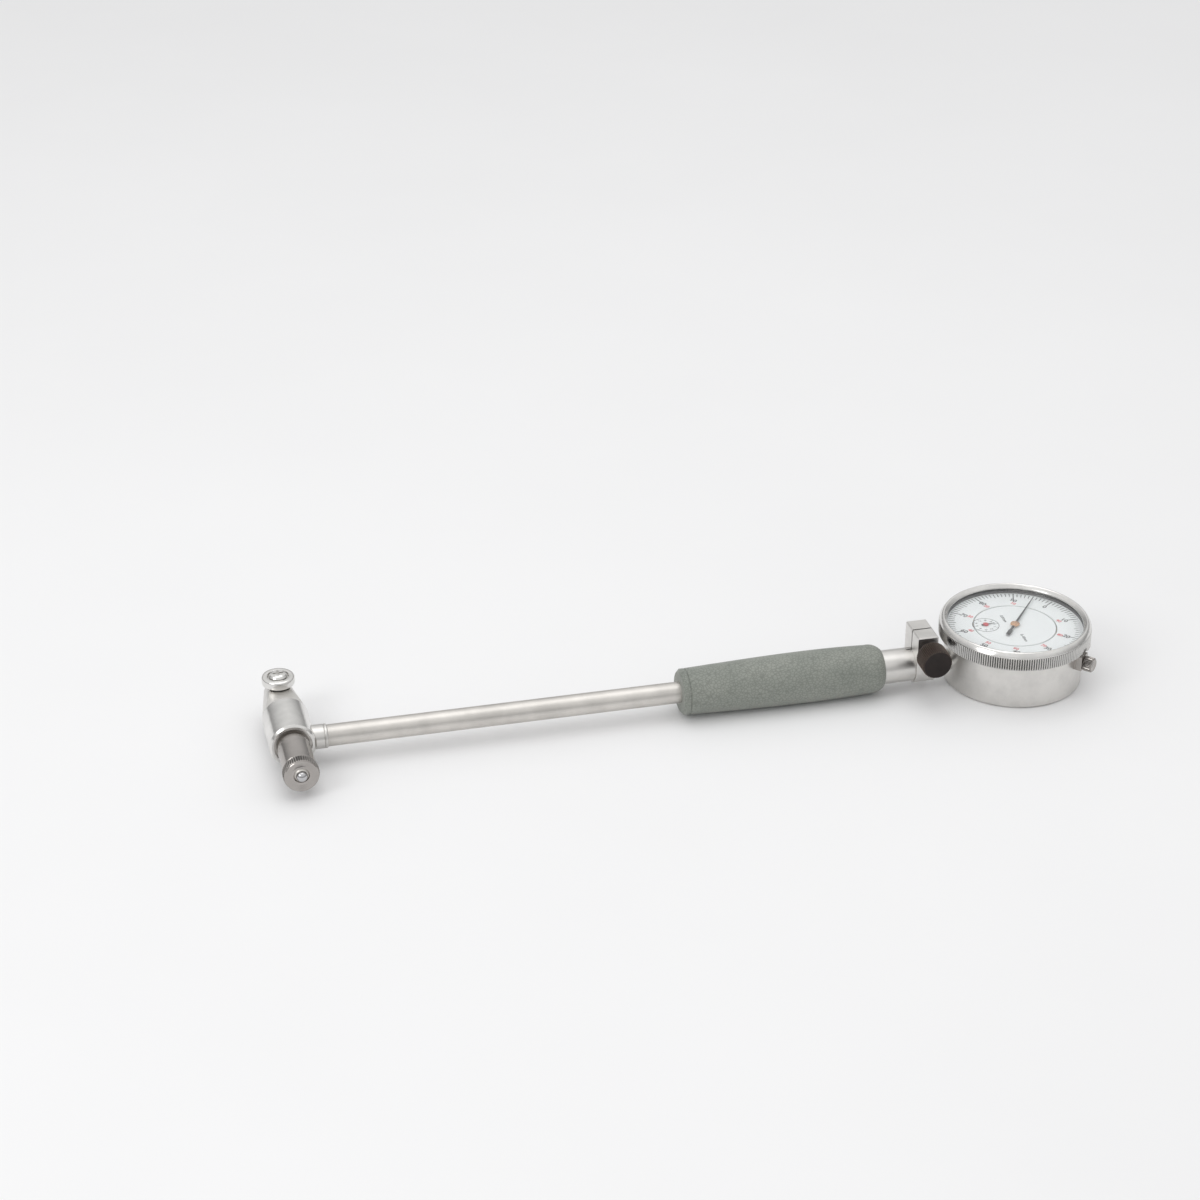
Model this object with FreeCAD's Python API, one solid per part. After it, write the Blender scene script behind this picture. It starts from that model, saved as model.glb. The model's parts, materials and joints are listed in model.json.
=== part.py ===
"""Dial bore gauge: a two-roller measuring head on a long tube, with a dial indicator clamped in its far end.

Frame, in millimetres: the origin is the centre of the indicator's flat back, which lies on the resting plane.
+X runs from the measuring head along the tube to the indicator, +Z is up out of the dial's face, and +Y is the
side that the moving contact and the two rollers face.  The interchangeable anvil faces -Y.

The contact, bell crank, push rod, indicator spindle, rack pinion, wheels and pointers form one drive: the contact
gives way by CONTACT_STROKE, and the pointer makes one turn for each millimetre.
"""
import FreeCAD
import Part
import math
import os

V = FreeCAD.Vector

# ---- fits and clearances -------------------------------------------------------------------------------------
RUN = 0.04            # radial clearance of a shaft that turns or slides in its bore
END_PLAY = 0.1        # axial play of a piece that turns between two shoulders
TOUCH = 0.03          # gap at the two rounded tips of the bell crank and at the indicator's contact point

# ---- measuring head, along its own axis (Y) --------------------------------------------------------------------
CONTACT_STROKE = 1.6  # how far the moving contact gives way
SHELL_D = 16.8
SHELL_WALL = 1.5
SHELL_NEAR = 4.5      # from the tube's axis to the near rim
SHELL_FAR = 15.4      # from the tube's axis to the shoulder of the nose
SHELL_RIM = 0.7       # chamfer on the near rim
CORE_RECESS = 1.0     # depth of the ring-shaped recess inside the near rim
CORE_FAR = 11.0
STUD_D = 10.0         # stub that carries the anvil nut
STUD_L = 12.5
NOSE_TIP_D = 10.6
NOSE_L = 20.8
NOSE_ROUND = 2.0
NOSE_FLATS = 10.2     # height between the two flats that carry the rollers
PLUNGER_D = 4.0
COLLAR_D = 6.0        # stop collar on the plunger
COLLAR_L = 2.0
COLLAR_STOP = 22.0    # from the tube's axis to the shoulder that stops the collar
CONTACT_BALL_D = 3.2
CONTACT_PROUD = 1.4   # how far the moving contact stands past the rollers
SPRING_WIRE = 0.5
SPRING_TURNS = 5

CRANK_ARM = 4.5
CRANK_TIP_R = 1.2
CRANK_BOSS_R = 1.5
CRANK_ARM_W = 1.4
CRANK_T = 2.0
CRANK_PIN_D = 1.6
CRANK_ROOM = 0.5      # free room round the crank in its slot

# ---- rollers -----------------------------------------------------------------------------------------------------
ROLLER_D = 12.1
ROLLER_T = 3.5
ROLLER_ROUND = 0.9
ROLLER_Y = 31.5       # from the tube's axis
ROLLER_GAP = 0.2
ROLLER_RECESS_D = 7.8
ROLLER_RECESS = 1.2
SHOULDER_D = 4.0      # shoulder of the screw that the roller turns on
ROLLER_THREAD_D = 3.0
ROLLER_THREAD_L = 2.4
ROLLER_HEAD_D = 6.8
ROLLER_HEAD_PROUD = 1.0

# ---- anvil side ----------------------------------------------------------------------------------------------------
ANVIL_NUT_D = 12.1
ANVIL_NUT_L = 21.7    # from the recess to the flange's outer face
ANVIL_FLANGE_D = 13.0
ANVIL_FLANGE_L = 4.2
ANVIL_RIBS = 48
ANVIL_NUT_WALL = 7.4  # thickness of the closed end, past the stub
ANVIL_D = 5.0
ANVIL_FLANGE = 8.0    # diameter of the anvil's own seating flange
ANVIL_SEAT_T = 1.6
ANVIL_TIP_D = 5.6
ANVIL_BALL_D = 4.2
ANVIL_PROUD = 1.8     # how far the ball stands past the nut's face
DISH = 0.6

# ---- tube, grip and clamp end, along X -------------------------------------------------------------------------------
TUBE_D = 8.0
TUBE_BORE = 5.2
TUBE_SEAT = 6.2       # from the head's axis to the end of the tube
TUBE_COLLAR_D = 8.9
TUBE_COLLAR_L = 12.8  # from the head's axis to the collar's end
TUBE_SHOW = 130.6     # tube between collar and grip
GRIP_L = 77.6
GRIP_END_D = 17.2     # lip at the head's end
GRIP_D = 19.3         # at its fullest
GRIP_BACK_D = 18.2    # where the rounded end starts
GRIP_FACE_D = 14.6    # flat face at the indicator's end
GRIP_LIP_L = 2.2
GRIP_GROOVE = 0.35
GRIP_ROUND = 1.0
GRIP_FULLEST = 0.66   # share of the length at which the grip is fullest
SOCKET_D = 12.7
SOCKET_SHOW = 12.0    # socket between grip and clamp block
SOCKET_INSIDE = 16.0  # length of the socket hidden in the grip
SOCKET_SEAT = 10.0    # length of the tube's seat in the socket
SPIGOT_D = 10.4       # split end of the socket, inside the clamp block
BLOCK_L = 7.8
BLOCK_W = 14.0
BLOCK_TOP = 14.5      # above the tube's axis
BLOCK_EDGE = 0.4
SLIT = 0.7
CLAMP_SCREW_Z = 8.9   # above the tube's axis
CLAMP_SCREW_D = 4.0
KNOB_D = 11.5
KNOB_L = 8.0
KNOB_RIBS = 40
KNOB_NECK_D = 7.2
KNOB_NECK_L = 3.0
KNOB_EDGE = 0.6
ROD_D = 3.0
ROD_PAD_D = 4.6
ROD_PAD_L = 2.4
BUSH_L = 8.0

# ---- indicator -----------------------------------------------------------------------------------------------------
CASE_D = 52.0
CASE_WALL = 1.8
BACK_T = 1.8
STEM_TO_TOP = 14.7    # from the stem's axis to the top of the bezel
STEM_D = 8.0
STEM_L = 19.5
STEM_SHOW = 7.0       # stem between clamp block and case
STEM_THREAD_D = 6.6
STEM_SPOT = 0.5       # depth of the flat that the stem seats on
SPINDLE_D = 4.0
SPINDLE_OUT = 12.9    # spindle between stem and contact point
POINT_COLLAR_D = 4.8
POINT_COLLAR_L = 2.3
POINT_L = 5.8         # contact point past its collar, ball included
POINT_BALL_D = 1.8
END_CAP_D = 6.8
END_CAP_OUT = 4.4
END_CAP_IN = 7.0
SPINDLE_END = 21.0    # inner end of the spindle, from the dial's centre
GUIDE_PIN_D = 1.2
GUIDE_PIN_X = 7.5
GUIDE_BAR_W = 1.6
GUIDE_BAR_L = 12.0
RETURN_TURNS = 7
RETURN_D = 2.0
RETURN_WIRE = 0.4

BEZEL_D = 57.0
BEZEL_H = 7.3
BEZEL_RIBS = 120
BEZEL_KNURL = 0.45    # depth of the ribs
BEZEL_BAND = 5.2      # height of the ribbed band
BEZEL_CREST_D = 54.4
DIAL_DEPTH = 4.4      # from the top of the bezel to the dial's face
DIAL_T = 0.5
DISC_D = 30.9         # fixed inner dial
DISC_GAP = 0.3        # between the fixed disc and the turning ring
CRYSTAL_T = 1.2
CRYSTAL_UP = 1.5      # from the dial's face to the crystal
LIP_IN = 0.7          # how far the bezel's lip reaches over the crystal
LEDGE_D = 53.8
LEDGE_T = 0.8
RIM_UP = 2.0          # case wall inside the bezel
PLATE_T = 1.2
UPPER_PLATE_DOWN = 3.1  # from the dial's face to the underside of the upper plate
LOWER_PLATE_DOWN = 5.8  # from the spindle's axis to the underside of the lower plate
LOWER_PLATE_D = 39.0
PILLAR_D = 3.0
PILLAR_PITCH_R = 17.4
PILLAR_ANGLES = (90, 215, 325)
COVER_SCREWS = 4
COVER_SCREW_PITCH_R = 22.5
COVER_SCREW_D = 2.0
COVER_SCREW_IN = 3.0    # thread in the boss
COVER_HEAD_D = 3.8
COVER_BOSS_D = 4.4
COVER_BOSS_L = 4.0

GEAR_MODULE = 0.19894  # rack pitch 0.625 mm
RACK_TEETH = 22
RACK_PINION_TEETH = 16
WHEEL_TEETH = 100
CENTRE_TEETH = 10
BACKLASH = 0.2        # share of the tooth pitch left free
WHEEL_T = 0.7
WHEEL_UP = 4.4        # wheels above the spindle's axis
ARBOR_D = 1.0
RACK_PINION_L = 2.6
POINTER_L = 23.0
POINTER_TAIL = 9.0
POINTER_ANGLE = 51.5  # direction of the pointer at rest, anticlockwise from +X
SMALL_POINTER_L = 3.6
SMALL_POINTER_ANGLE = 5.0
LOCK_ANGLE = -47.0
LOCK_Z = 4.2          # above the stem's axis
LOCK_KNOB_D = 5.6
LOCK_KNOB_L = 3.8
LOCK_RIBS = 24
LOCK_SHOE_L = 3.0
LOCK_SHOE_W = 5.0
LOCK_SCREW_D = 2.0

# ---- places worked out from the sizes above -----------------------------------------------------------------------------
AXIS_Z = NOSE_FLATS / 2 + ROLLER_GAP + ROLLER_T + ROLLER_HEAD_PROUD  # lower screw head and indicator lie level
BLOCK_X1 = -CASE_D / 2 - STEM_SHOW
BLOCK_X0 = BLOCK_X1 - BLOCK_L
GRIP_X1 = BLOCK_X0 - SOCKET_SHOW
GRIP_X0 = GRIP_X1 - GRIP_L
HEAD_X = GRIP_X0 - TUBE_SHOW - TUBE_COLLAR_L
TUBE_X0 = HEAD_X + TUBE_SEAT
SOCKET_X0 = GRIP_X1 - SOCKET_INSIDE
TUBE_X1 = SOCKET_X0 + SOCKET_SEAT
STEM_X0 = -CASE_D / 2 - STEM_L
POINT_X = STEM_X0 - SPINDLE_OUT - POINT_COLLAR_L - POINT_L   # tip of the contact point
ROD_X1 = POINT_X - TOUCH

CORE_D = SHELL_D - 2 * SHELL_WALL
CORE_NEAR = SHELL_NEAR - CORE_RECESS
STUD_END = -CORE_NEAR - STUD_L
NUT_OPEN = -CORE_NEAR - END_PLAY
NUT_FACE = NUT_OPEN - ANVIL_NUT_L
CONTACT_TIP_Y = ROLLER_Y + ROLLER_D / 2 + CONTACT_PROUD

CRANK_SWING = math.asin(CONTACT_STROKE / 2 / CRANK_ARM)       # half of the crank's swing, in radians
PIVOT_X = HEAD_X + CRANK_ARM
PIVOT_Y = CRANK_ARM
PLUNGER_END = PIVOT_Y + CONTACT_STROKE / 2 + CRANK_TIP_R + TOUCH
ROD_X0 = PIVOT_X - CONTACT_STROKE / 2 + CRANK_TIP_R + TOUCH

BEZEL_TOP = AXIS_Z + STEM_TO_TOP
BEZEL_Z0 = BEZEL_TOP - BEZEL_H
DIAL_Z = BEZEL_TOP - DIAL_DEPTH
CRYSTAL_Z = DIAL_Z + CRYSTAL_UP
LEDGE_TOP = BEZEL_Z0 - END_PLAY
RIM_TOP = LEDGE_TOP + RIM_UP
PLATE_Z = DIAL_Z - UPPER_PLATE_DOWN
LOWER_Z = AXIS_Z - LOWER_PLATE_DOWN
WHEEL_Z = AXIS_Z + WHEEL_UP
BORE_D = CASE_D + 2 * 2 * RUN                                   # bezel bore over the case rim

PITCH = math.pi * GEAR_MODULE
RACK_R = RACK_PINION_TEETH * GEAR_MODULE / 2
WHEEL_R = WHEEL_TEETH * GEAR_MODULE / 2
CENTRE_R = CENTRE_TEETH * GEAR_MODULE / 2
RACK_LINE = SPINDLE_D / 2 - 2.7 * GEAR_MODULE                   # pitch line of the rack, from the spindle's axis
ARBOR_Y = RACK_LINE + RACK_R
ARBOR_X = math.sqrt((WHEEL_R + CENTRE_R) ** 2 - ARBOR_Y ** 2)

NODES = {}


# ---- helpers --------------------------------------------------------------------------------------------------------
def placed(shape, base=(0, 0, 0), axis=(0, 0, 1)):
    """Moves a shape made along +Z so that it starts at base and runs along axis."""
    shape.Placement = FreeCAD.Placement(V(*base), FreeCAD.Rotation(V(0, 0, 1), V(*axis)))
    return shape


def turned(profile, base=(0, 0, 0), axis=(0, 0, 1)):
    """Revolves a half section, given as (radius, distance along the axis) corners."""
    corners = [V(radius, 0, along) for radius, along in profile]
    face = Part.Face(Part.makePolygon(corners + corners[:1]))
    return placed(face.revolve(V(0, 0, 0), V(0, 0, 1), 360), base, axis)


def rod(diameter, length, base, axis, edge=0.0):
    """A round bar, with the same chamfer on both ends."""
    radius = diameter / 2
    if not edge:
        return Part.makeCylinder(radius, length, V(*base), V(*axis))
    return turned([(0, 0), (radius - edge, 0), (radius, edge), (radius, length - edge),
                   (radius - edge, length), (0, length)], base, axis)


def ring(outer, inner, length, base, axis):
    return rod(outer, length, base, axis).cut(rod(inner, length, base, axis))


def box(x0, x1, y0, y1, z0, z1):
    return Part.makeBox(x1 - x0, y1 - y0, z1 - z0, V(x0, y0, z0))


def prism(points, height, z0=0.0):
    """Extrudes a closed outline of (x, y) corners up from z0."""
    corners = [V(x, y, z0) for x, y in points]
    return Part.Face(Part.makePolygon(corners + corners[:1])).extrude(V(0, 0, height))


def ribbed(diameter, depth, count, length, base, axis):
    """A straight-knurled bar: pointed ribs round a cylinder."""
    outline = []
    for k in range(count):
        for radius, share in ((diameter / 2, 0.0), (diameter / 2 - depth, 0.5)):
            angle = 2 * math.pi * (k + share) / count
            outline.append((radius * math.cos(angle), radius * math.sin(angle)))
    return placed(prism(outline, length), base, axis)


def toothed(teeth, thickness, phase):
    """A spur gear of straight-flanked teeth about Z; phase is the direction of one tooth, in radians."""
    radius = teeth * GEAR_MODULE / 2
    root, tip = radius - 1.2 * GEAR_MODULE, radius + 0.9 * GEAR_MODULE
    half = PITCH * (1 - BACKLASH) / 4
    slope = math.tan(math.radians(20))
    outline = []
    for k in range(teeth):
        middle = phase + 2 * math.pi * k / teeth
        foot = (half + 1.2 * GEAR_MODULE * slope) / radius
        head = (half - 0.9 * GEAR_MODULE * slope) / radius
        for reach, angle in ((root, -foot), (tip, -head), (tip, head), (root, foot)):
            outline.append((reach * math.cos(middle + angle), reach * math.sin(middle + angle)))
    return prism(outline, thickness)


def meshing_phase(driver_phase, driver_teeth, teeth, direction):
    """Phase of a gear that meshes with a driver, which sees it in the given direction."""
    step = 2 * math.pi / driver_teeth
    past = (direction - driver_phase) % step
    return direction + math.pi + past * driver_teeth / teeth + math.pi / teeth


def link(start, start_r, end, end_r, thickness):
    """A flat arm with round ends, centred on z = 0."""
    length = math.hypot(end[0] - start[0], end[1] - start[1])
    heading = math.atan2(end[1] - start[1], end[0] - start[0])
    lean = math.acos((start_r - end_r) / length)
    outline = []
    for (x, y), radius, side in ((start, start_r, 1), (end, end_r, 1), (end, end_r, -1), (start, start_r, -1)):
        angle = heading + side * lean
        outline.append((x + radius * math.cos(angle), y + radius * math.sin(angle)))
    arm = prism(outline, thickness, -thickness / 2)
    for (x, y), radius in ((start, start_r), (end, end_r)):
        arm = arm.fuse(rod(2 * radius, thickness, (x, y, -thickness / 2), (0, 0, 1)))
    return arm.removeSplitter()


def coil(wire_d, coil_d, turns, length, base, axis):
    """A helical spring of square wire; length is between the outer ends of the wire."""
    rise = length - wire_d
    path = Part.makeHelix(rise / turns, rise, (coil_d - wire_d) / 2)
    start = V((coil_d - wire_d) / 2, 0, 0)
    corner = wire_d / 2
    corners = [start + V(x, 0, z) for x, z in ((-corner, -corner), (corner, -corner), (corner, corner), (-corner, corner))]
    section = Part.makePolygon(corners + corners[:1])
    spring = Part.Wire(path).makePipeShell([section], True, True)
    spring.translate(V(0, 0, wire_d / 2))
    return placed(spring, base, axis)


def polar(radius, degrees):
    angle = math.radians(degrees)
    return radius * math.cos(angle), radius * math.sin(angle)


def save(name, shape, lift=AXIS_Z):
    """Keeps a node; shapes drawn about the tube's axis are lifted to its height."""
    shape = shape.copy()
    shape.translate(V(0, 0, lift))
    NODES[name] = shape


# ---- measuring head ---------------------------------------------------------------------------------------------------
def head_bar(diameter, y0, y1):
    """A bar along the head's measuring axis, between two places on Y."""
    return rod(diameter, y1 - y0, (HEAD_X, y0, 0), (0, 1, 0))


def head_shell():
    radius, bore = SHELL_D / 2, CORE_D / 2
    length = SHELL_NEAR + SHELL_FAR
    shell = turned([(bore, 0), (radius - SHELL_RIM, 0), (radius, SHELL_RIM), (radius, length), (bore, length)],
                   (HEAD_X, -SHELL_NEAR, 0), (0, 1, 0))
    return shell.cut(rod(TUBE_D, SHELL_D, (HEAD_X, 0, 0), (1, 0, 0)))


def crank_slot():
    room = CRANK_TIP_R + CRANK_ROOM
    return box(HEAD_X - room, HEAD_X + SHELL_D / 2, -room, PIVOT_Y + CRANK_BOSS_R + CRANK_ROOM,
               -CRANK_T / 2 - END_PLAY, CRANK_T / 2 + END_PLAY)


def head_core():
    core = head_bar(CORE_D, -CORE_NEAR, CORE_FAR)
    core = core.fuse(head_bar(STUD_D, STUD_END, -CORE_NEAR))
    core = core.cut(crank_slot())
    core = core.cut(head_bar(PLUNGER_D + 2 * RUN, 0, CORE_FAR))
    core = core.cut(rod(TUBE_D, SHELL_D, (TUBE_X0, 0, 0), (1, 0, 0)))
    core = core.cut(rod(ROD_D + 2 * RUN, SHELL_D, (HEAD_X, 0, 0), (1, 0, 0)))
    core = core.cut(head_bar(ANVIL_D, STUD_END, -CORE_NEAR))
    return core.cut(crank_pin())


def pin_half_length():
    return math.sqrt((CORE_D / 2) ** 2 - (CRANK_ARM + CRANK_PIN_D / 2) ** 2)


def crank_pin():
    half = pin_half_length()
    return rod(CRANK_PIN_D, 2 * half, (PIVOT_X, PIVOT_Y, -half), (0, 0, 1))


def nose_cone():
    """Tapered nose with two flats: it closes the shell, guides the plunger and carries the rollers."""
    root, tip, end = SHELL_D / 2, NOSE_TIP_D / 2, SHELL_FAR + NOSE_L
    nose = turned([(0, CORE_FAR), (CORE_D / 2, CORE_FAR), (CORE_D / 2, SHELL_FAR), (root, SHELL_FAR),
                   (tip, end - NOSE_ROUND), (tip - NOSE_ROUND, end), (0, end)], (HEAD_X, 0, 0), (0, 1, 0))
    for side in (-1, 1):
        edge = side * NOSE_FLATS / 2
        outer = side * SHELL_D
        nose = nose.cut(box(HEAD_X - SHELL_D, HEAD_X + SHELL_D, SHELL_FAR, end + 1,
                            min(edge, outer), max(edge, outer)))
        nose = nose.cut(rod(ROLLER_THREAD_D, ROLLER_THREAD_L, (HEAD_X, ROLLER_Y, edge), (0, 0, -side)))
    nose = nose.cut(head_bar(PLUNGER_D + 2 * RUN, CORE_FAR, end))
    return nose.cut(head_bar(COLLAR_D + 4 * RUN, CORE_FAR, COLLAR_STOP))


def contact_plunger():
    seat = CONTACT_TIP_Y - CONTACT_BALL_D / 2
    plunger = head_bar(PLUNGER_D, PLUNGER_END, seat)
    collar = head_bar(COLLAR_D, COLLAR_STOP - COLLAR_L - TOUCH, COLLAR_STOP - TOUCH)
    ball = Part.makeSphere(CONTACT_BALL_D / 2, V(HEAD_X, seat, 0))
    return plunger.fuse(collar).cut(ball)


def contact_ball():
    return Part.makeSphere(CONTACT_BALL_D / 2, V(HEAD_X, CONTACT_TIP_Y - CONTACT_BALL_D / 2, 0))


def contact_spring():
    length = COLLAR_STOP - COLLAR_L - TOUCH - CORE_FAR - 2 * SPRING_WIRE
    outer = (PLUNGER_D + COLLAR_D) / 2 + SPRING_WIRE
    return coil(SPRING_WIRE, outer, SPRING_TURNS, length, (HEAD_X, CORE_FAR + SPRING_WIRE, 0), (0, 1, 0))


def bell_crank():
    """Two equal arms at a right angle; the first meets the plunger and the second the push rod."""
    pivot = (PIVOT_X, PIVOT_Y)
    crank = None
    for square in (math.pi, 1.5 * math.pi):
        angle = square - CRANK_SWING
        tip = (PIVOT_X + CRANK_ARM * math.cos(angle), PIVOT_Y + CRANK_ARM * math.sin(angle))
        arm = link(pivot, CRANK_ARM_W / 2, tip, CRANK_ARM_W / 2, CRANK_T)
        arm = arm.fuse(rod(2 * CRANK_TIP_R, CRANK_T, (tip[0], tip[1], -CRANK_T / 2), (0, 0, 1)))
        crank = arm if crank is None else crank.fuse(arm)
    crank = crank.fuse(rod(2 * CRANK_BOSS_R, CRANK_T, (PIVOT_X, PIVOT_Y, -CRANK_T / 2), (0, 0, 1)))
    bore = rod(CRANK_PIN_D + 2 * RUN, CRANK_T + 1, (PIVOT_X, PIVOT_Y, -CRANK_T / 2 - 0.5), (0, 0, 1))
    return crank.cut(bore).removeSplitter()


def roller(side):
    """Guide roller with a rounded rim, and a recess for the head of its shoulder screw."""
    radius, bevel = ROLLER_D / 2, ROLLER_ROUND
    inner, recess = SHOULDER_D / 2 + RUN, ROLLER_RECESS_D / 2
    floor = ROLLER_T - ROLLER_RECESS
    profile = [(inner, 0), (radius - bevel, 0), (radius - 0.3 * bevel, 0.3 * bevel), (radius, bevel),
               (radius, ROLLER_T - bevel), (radius - 0.3 * bevel, ROLLER_T - 0.3 * bevel),
               (radius - bevel, ROLLER_T), (recess, ROLLER_T), (recess, floor), (inner, floor)]
    return turned(profile, (HEAD_X, ROLLER_Y, side * (NOSE_FLATS / 2 + ROLLER_GAP)), (0, 0, side))


def roller_screw(side):
    """Shoulder screw with a domed, cross-recessed head."""
    shoulder = ROLLER_GAP + ROLLER_T - ROLLER_RECESS + END_PLAY
    top = ROLLER_GAP + ROLLER_T + ROLLER_HEAD_PROUD
    head, dome = ROLLER_HEAD_D / 2, 0.25 * (top - shoulder)
    profile = [(0, -ROLLER_THREAD_L), (ROLLER_THREAD_D / 2, -ROLLER_THREAD_L), (ROLLER_THREAD_D / 2, 0),
               (SHOULDER_D / 2, 0), (SHOULDER_D / 2, shoulder), (head, shoulder), (head, top - 2 * dome),
               (head - dome, top - 0.6 * dome), (0.6 * head, top), (0, top)]
    screw = turned(profile)
    arm, deep = 0.55 * head, 1.6 * dome
    for long_x, long_y in ((arm, 0.12 * head), (0.12 * head, arm)):
        screw = screw.cut(box(-long_x, long_x, -long_y, long_y, top - deep, top + 1))
    return placed(screw, (HEAD_X, ROLLER_Y, side * NOSE_FLATS / 2), (0, 0, side))


# ---- anvil side -----------------------------------------------------------------------------------------------------------
def anvil_nut():
    """Long nut with a knurled flange that holds the anvil on the head's stub."""
    flange_y = NUT_FACE + ANVIL_FLANGE_L
    barrel = head_bar(ANVIL_NUT_D, flange_y, NUT_OPEN)
    band_root = ANVIL_FLANGE_D - 0.7
    flange = head_bar(band_root, NUT_FACE, flange_y)
    flange = flange.fuse(ribbed(ANVIL_FLANGE_D, 0.35, ANVIL_RIBS, 0.6 * ANVIL_FLANGE_L,
                                (HEAD_X, NUT_FACE + 0.15 * ANVIL_FLANGE_L, 0), (0, 1, 0)))
    nut = barrel.fuse(flange)
    nut = nut.cut(head_bar(STUD_D + 2 * RUN, STUD_END - ANVIL_SEAT_T - END_PLAY, NUT_OPEN))
    nut = nut.cut(head_bar(ANVIL_TIP_D + 2 * RUN, NUT_FACE, NUT_OPEN))
    rim = band_root / 2 - 0.6
    dish = turned([(0, 0), (rim, 0), (ANVIL_TIP_D / 2 + 0.8, DISH), (0, DISH)], (HEAD_X, NUT_FACE, 0), (0, 1, 0))
    return nut.cut(dish)


def anvil():
    """Interchangeable anvil: shank in the stub, seating flange under the nut, and a tip with a ball."""
    seat_y = STUD_END - ANVIL_SEAT_T
    shank = head_bar(ANVIL_D, STUD_END, -CORE_NEAR - RUN)
    seat = head_bar(ANVIL_FLANGE, seat_y, STUD_END)
    ball_y = NUT_FACE - ANVIL_PROUD + ANVIL_BALL_D / 2
    tip = turned([(0, 0), (ANVIL_TIP_D / 2, 0), (ANVIL_TIP_D / 2, seat_y - ball_y - 0.6),
                  (ANVIL_TIP_D / 2 - 0.6, seat_y - ball_y), (0, seat_y - ball_y)], (HEAD_X, seat_y, 0), (0, -1, 0))
    return shank.fuse(seat).fuse(tip).cut(anvil_ball()).removeSplitter()


def anvil_ball():
    return Part.makeSphere(ANVIL_BALL_D / 2, V(HEAD_X, NUT_FACE - ANVIL_PROUD + ANVIL_BALL_D / 2, 0))


# ---- tube, grip and push rod --------------------------------------------------------------------------------------------
def bar_x(diameter, x0, x1, edge=0.0):
    return rod(diameter, x1 - x0, (x0, 0, 0), (1, 0, 0), edge)


def tube():
    return bar_x(TUBE_D, TUBE_X0, TUBE_X1).cut(bar_x(TUBE_BORE, TUBE_X0, TUBE_X1))


def tube_collar():
    """Ferrule with a saddle that fits the round head."""
    end = HEAD_X + TUBE_COLLAR_L
    collar = turned([(TUBE_D / 2, 0), (TUBE_COLLAR_D / 2, 0), (TUBE_COLLAR_D / 2, TUBE_COLLAR_L - 1.4),
                     (TUBE_COLLAR_D / 2 - 0.25, TUBE_COLLAR_L - 1.2), (TUBE_COLLAR_D / 2, TUBE_COLLAR_L - 1.0),
                     (TUBE_COLLAR_D / 2, TUBE_COLLAR_L - 0.3), (TUBE_COLLAR_D / 2 - 0.3, TUBE_COLLAR_L),
                     (TUBE_D / 2, TUBE_COLLAR_L)], (end - TUBE_COLLAR_L, 0, 0), (1, 0, 0))
    return collar.cut(head_bar(SHELL_D, -SHELL_D, SHELL_D))


def grip():
    """Barrel-shaped sleeve: a lip and a groove at the head's end, a slow swell, and a rounded end."""
    lip, full, back, face = GRIP_END_D / 2, GRIP_D / 2, GRIP_BACK_D / 2, GRIP_FACE_D / 2
    bore, socket = TUBE_D / 2, SOCKET_D / 2
    after_lip = GRIP_LIP_L + 2 * GRIP_GROOVE
    round_l = back - face
    front = [V(bore, 0, 0), V(lip - GRIP_ROUND, 0, 0), V(lip, 0, GRIP_ROUND), V(lip, 0, GRIP_LIP_L),
             V(lip - GRIP_GROOVE, 0, GRIP_LIP_L + GRIP_GROOVE), V(lip, 0, after_lip)]
    swell = Part.BSplineCurve()
    fullest = GRIP_FULLEST * GRIP_L
    swell.interpolate([V(lip, 0, after_lip), V(lip + 0.6 * (full - lip), 0, 0.45 * fullest), V(full, 0, fullest),
                       V(back, 0, GRIP_L - 3 * round_l)])
    end = Part.Arc(V(back, 0, GRIP_L - 3 * round_l), V(face + 0.7 * round_l, 0, GRIP_L - round_l), V(face, 0, GRIP_L))
    seat = GRIP_L - SOCKET_INSIDE
    inside = [V(face, 0, GRIP_L), V(socket, 0, GRIP_L), V(socket, 0, seat), V(bore, 0, seat), V(bore, 0, 0)]
    edges = [Part.LineSegment(a, b).toShape() for a, b in zip(front, front[1:])]
    edges += [swell.toShape(), end.toShape()]
    edges += [Part.LineSegment(a, b).toShape() for a, b in zip(inside, inside[1:])]
    body = Part.Face(Part.Wire(edges)).revolve(V(0, 0, 0), V(0, 0, 1), 360)
    return placed(body, (GRIP_X0, 0, 0), (1, 0, 0))


def socket_tube():
    """Socket for the indicator's stem; its end is a split spigot inside the clamp block."""
    shoulder = BLOCK_X0 - SOCKET_X0
    length = BLOCK_X1 - SOCKET_X0
    socket = turned([(0, 0), (SOCKET_D / 2, 0), (SOCKET_D / 2, shoulder), (SPIGOT_D / 2, shoulder),
                     (SPIGOT_D / 2, length), (0, length)], (SOCKET_X0, 0, 0), (1, 0, 0))
    socket = socket.cut(bar_x(TUBE_D, SOCKET_X0, TUBE_X1))
    socket = socket.cut(bar_x(TUBE_BORE, TUBE_X1, BLOCK_X1))
    socket = socket.cut(bar_x(STEM_D + RUN, STEM_X0 - END_PLAY, BLOCK_X1))
    return socket.cut(box(BLOCK_X0 - 2, BLOCK_X1, -SLIT / 2, SLIT / 2, 0, SOCKET_D))


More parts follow.
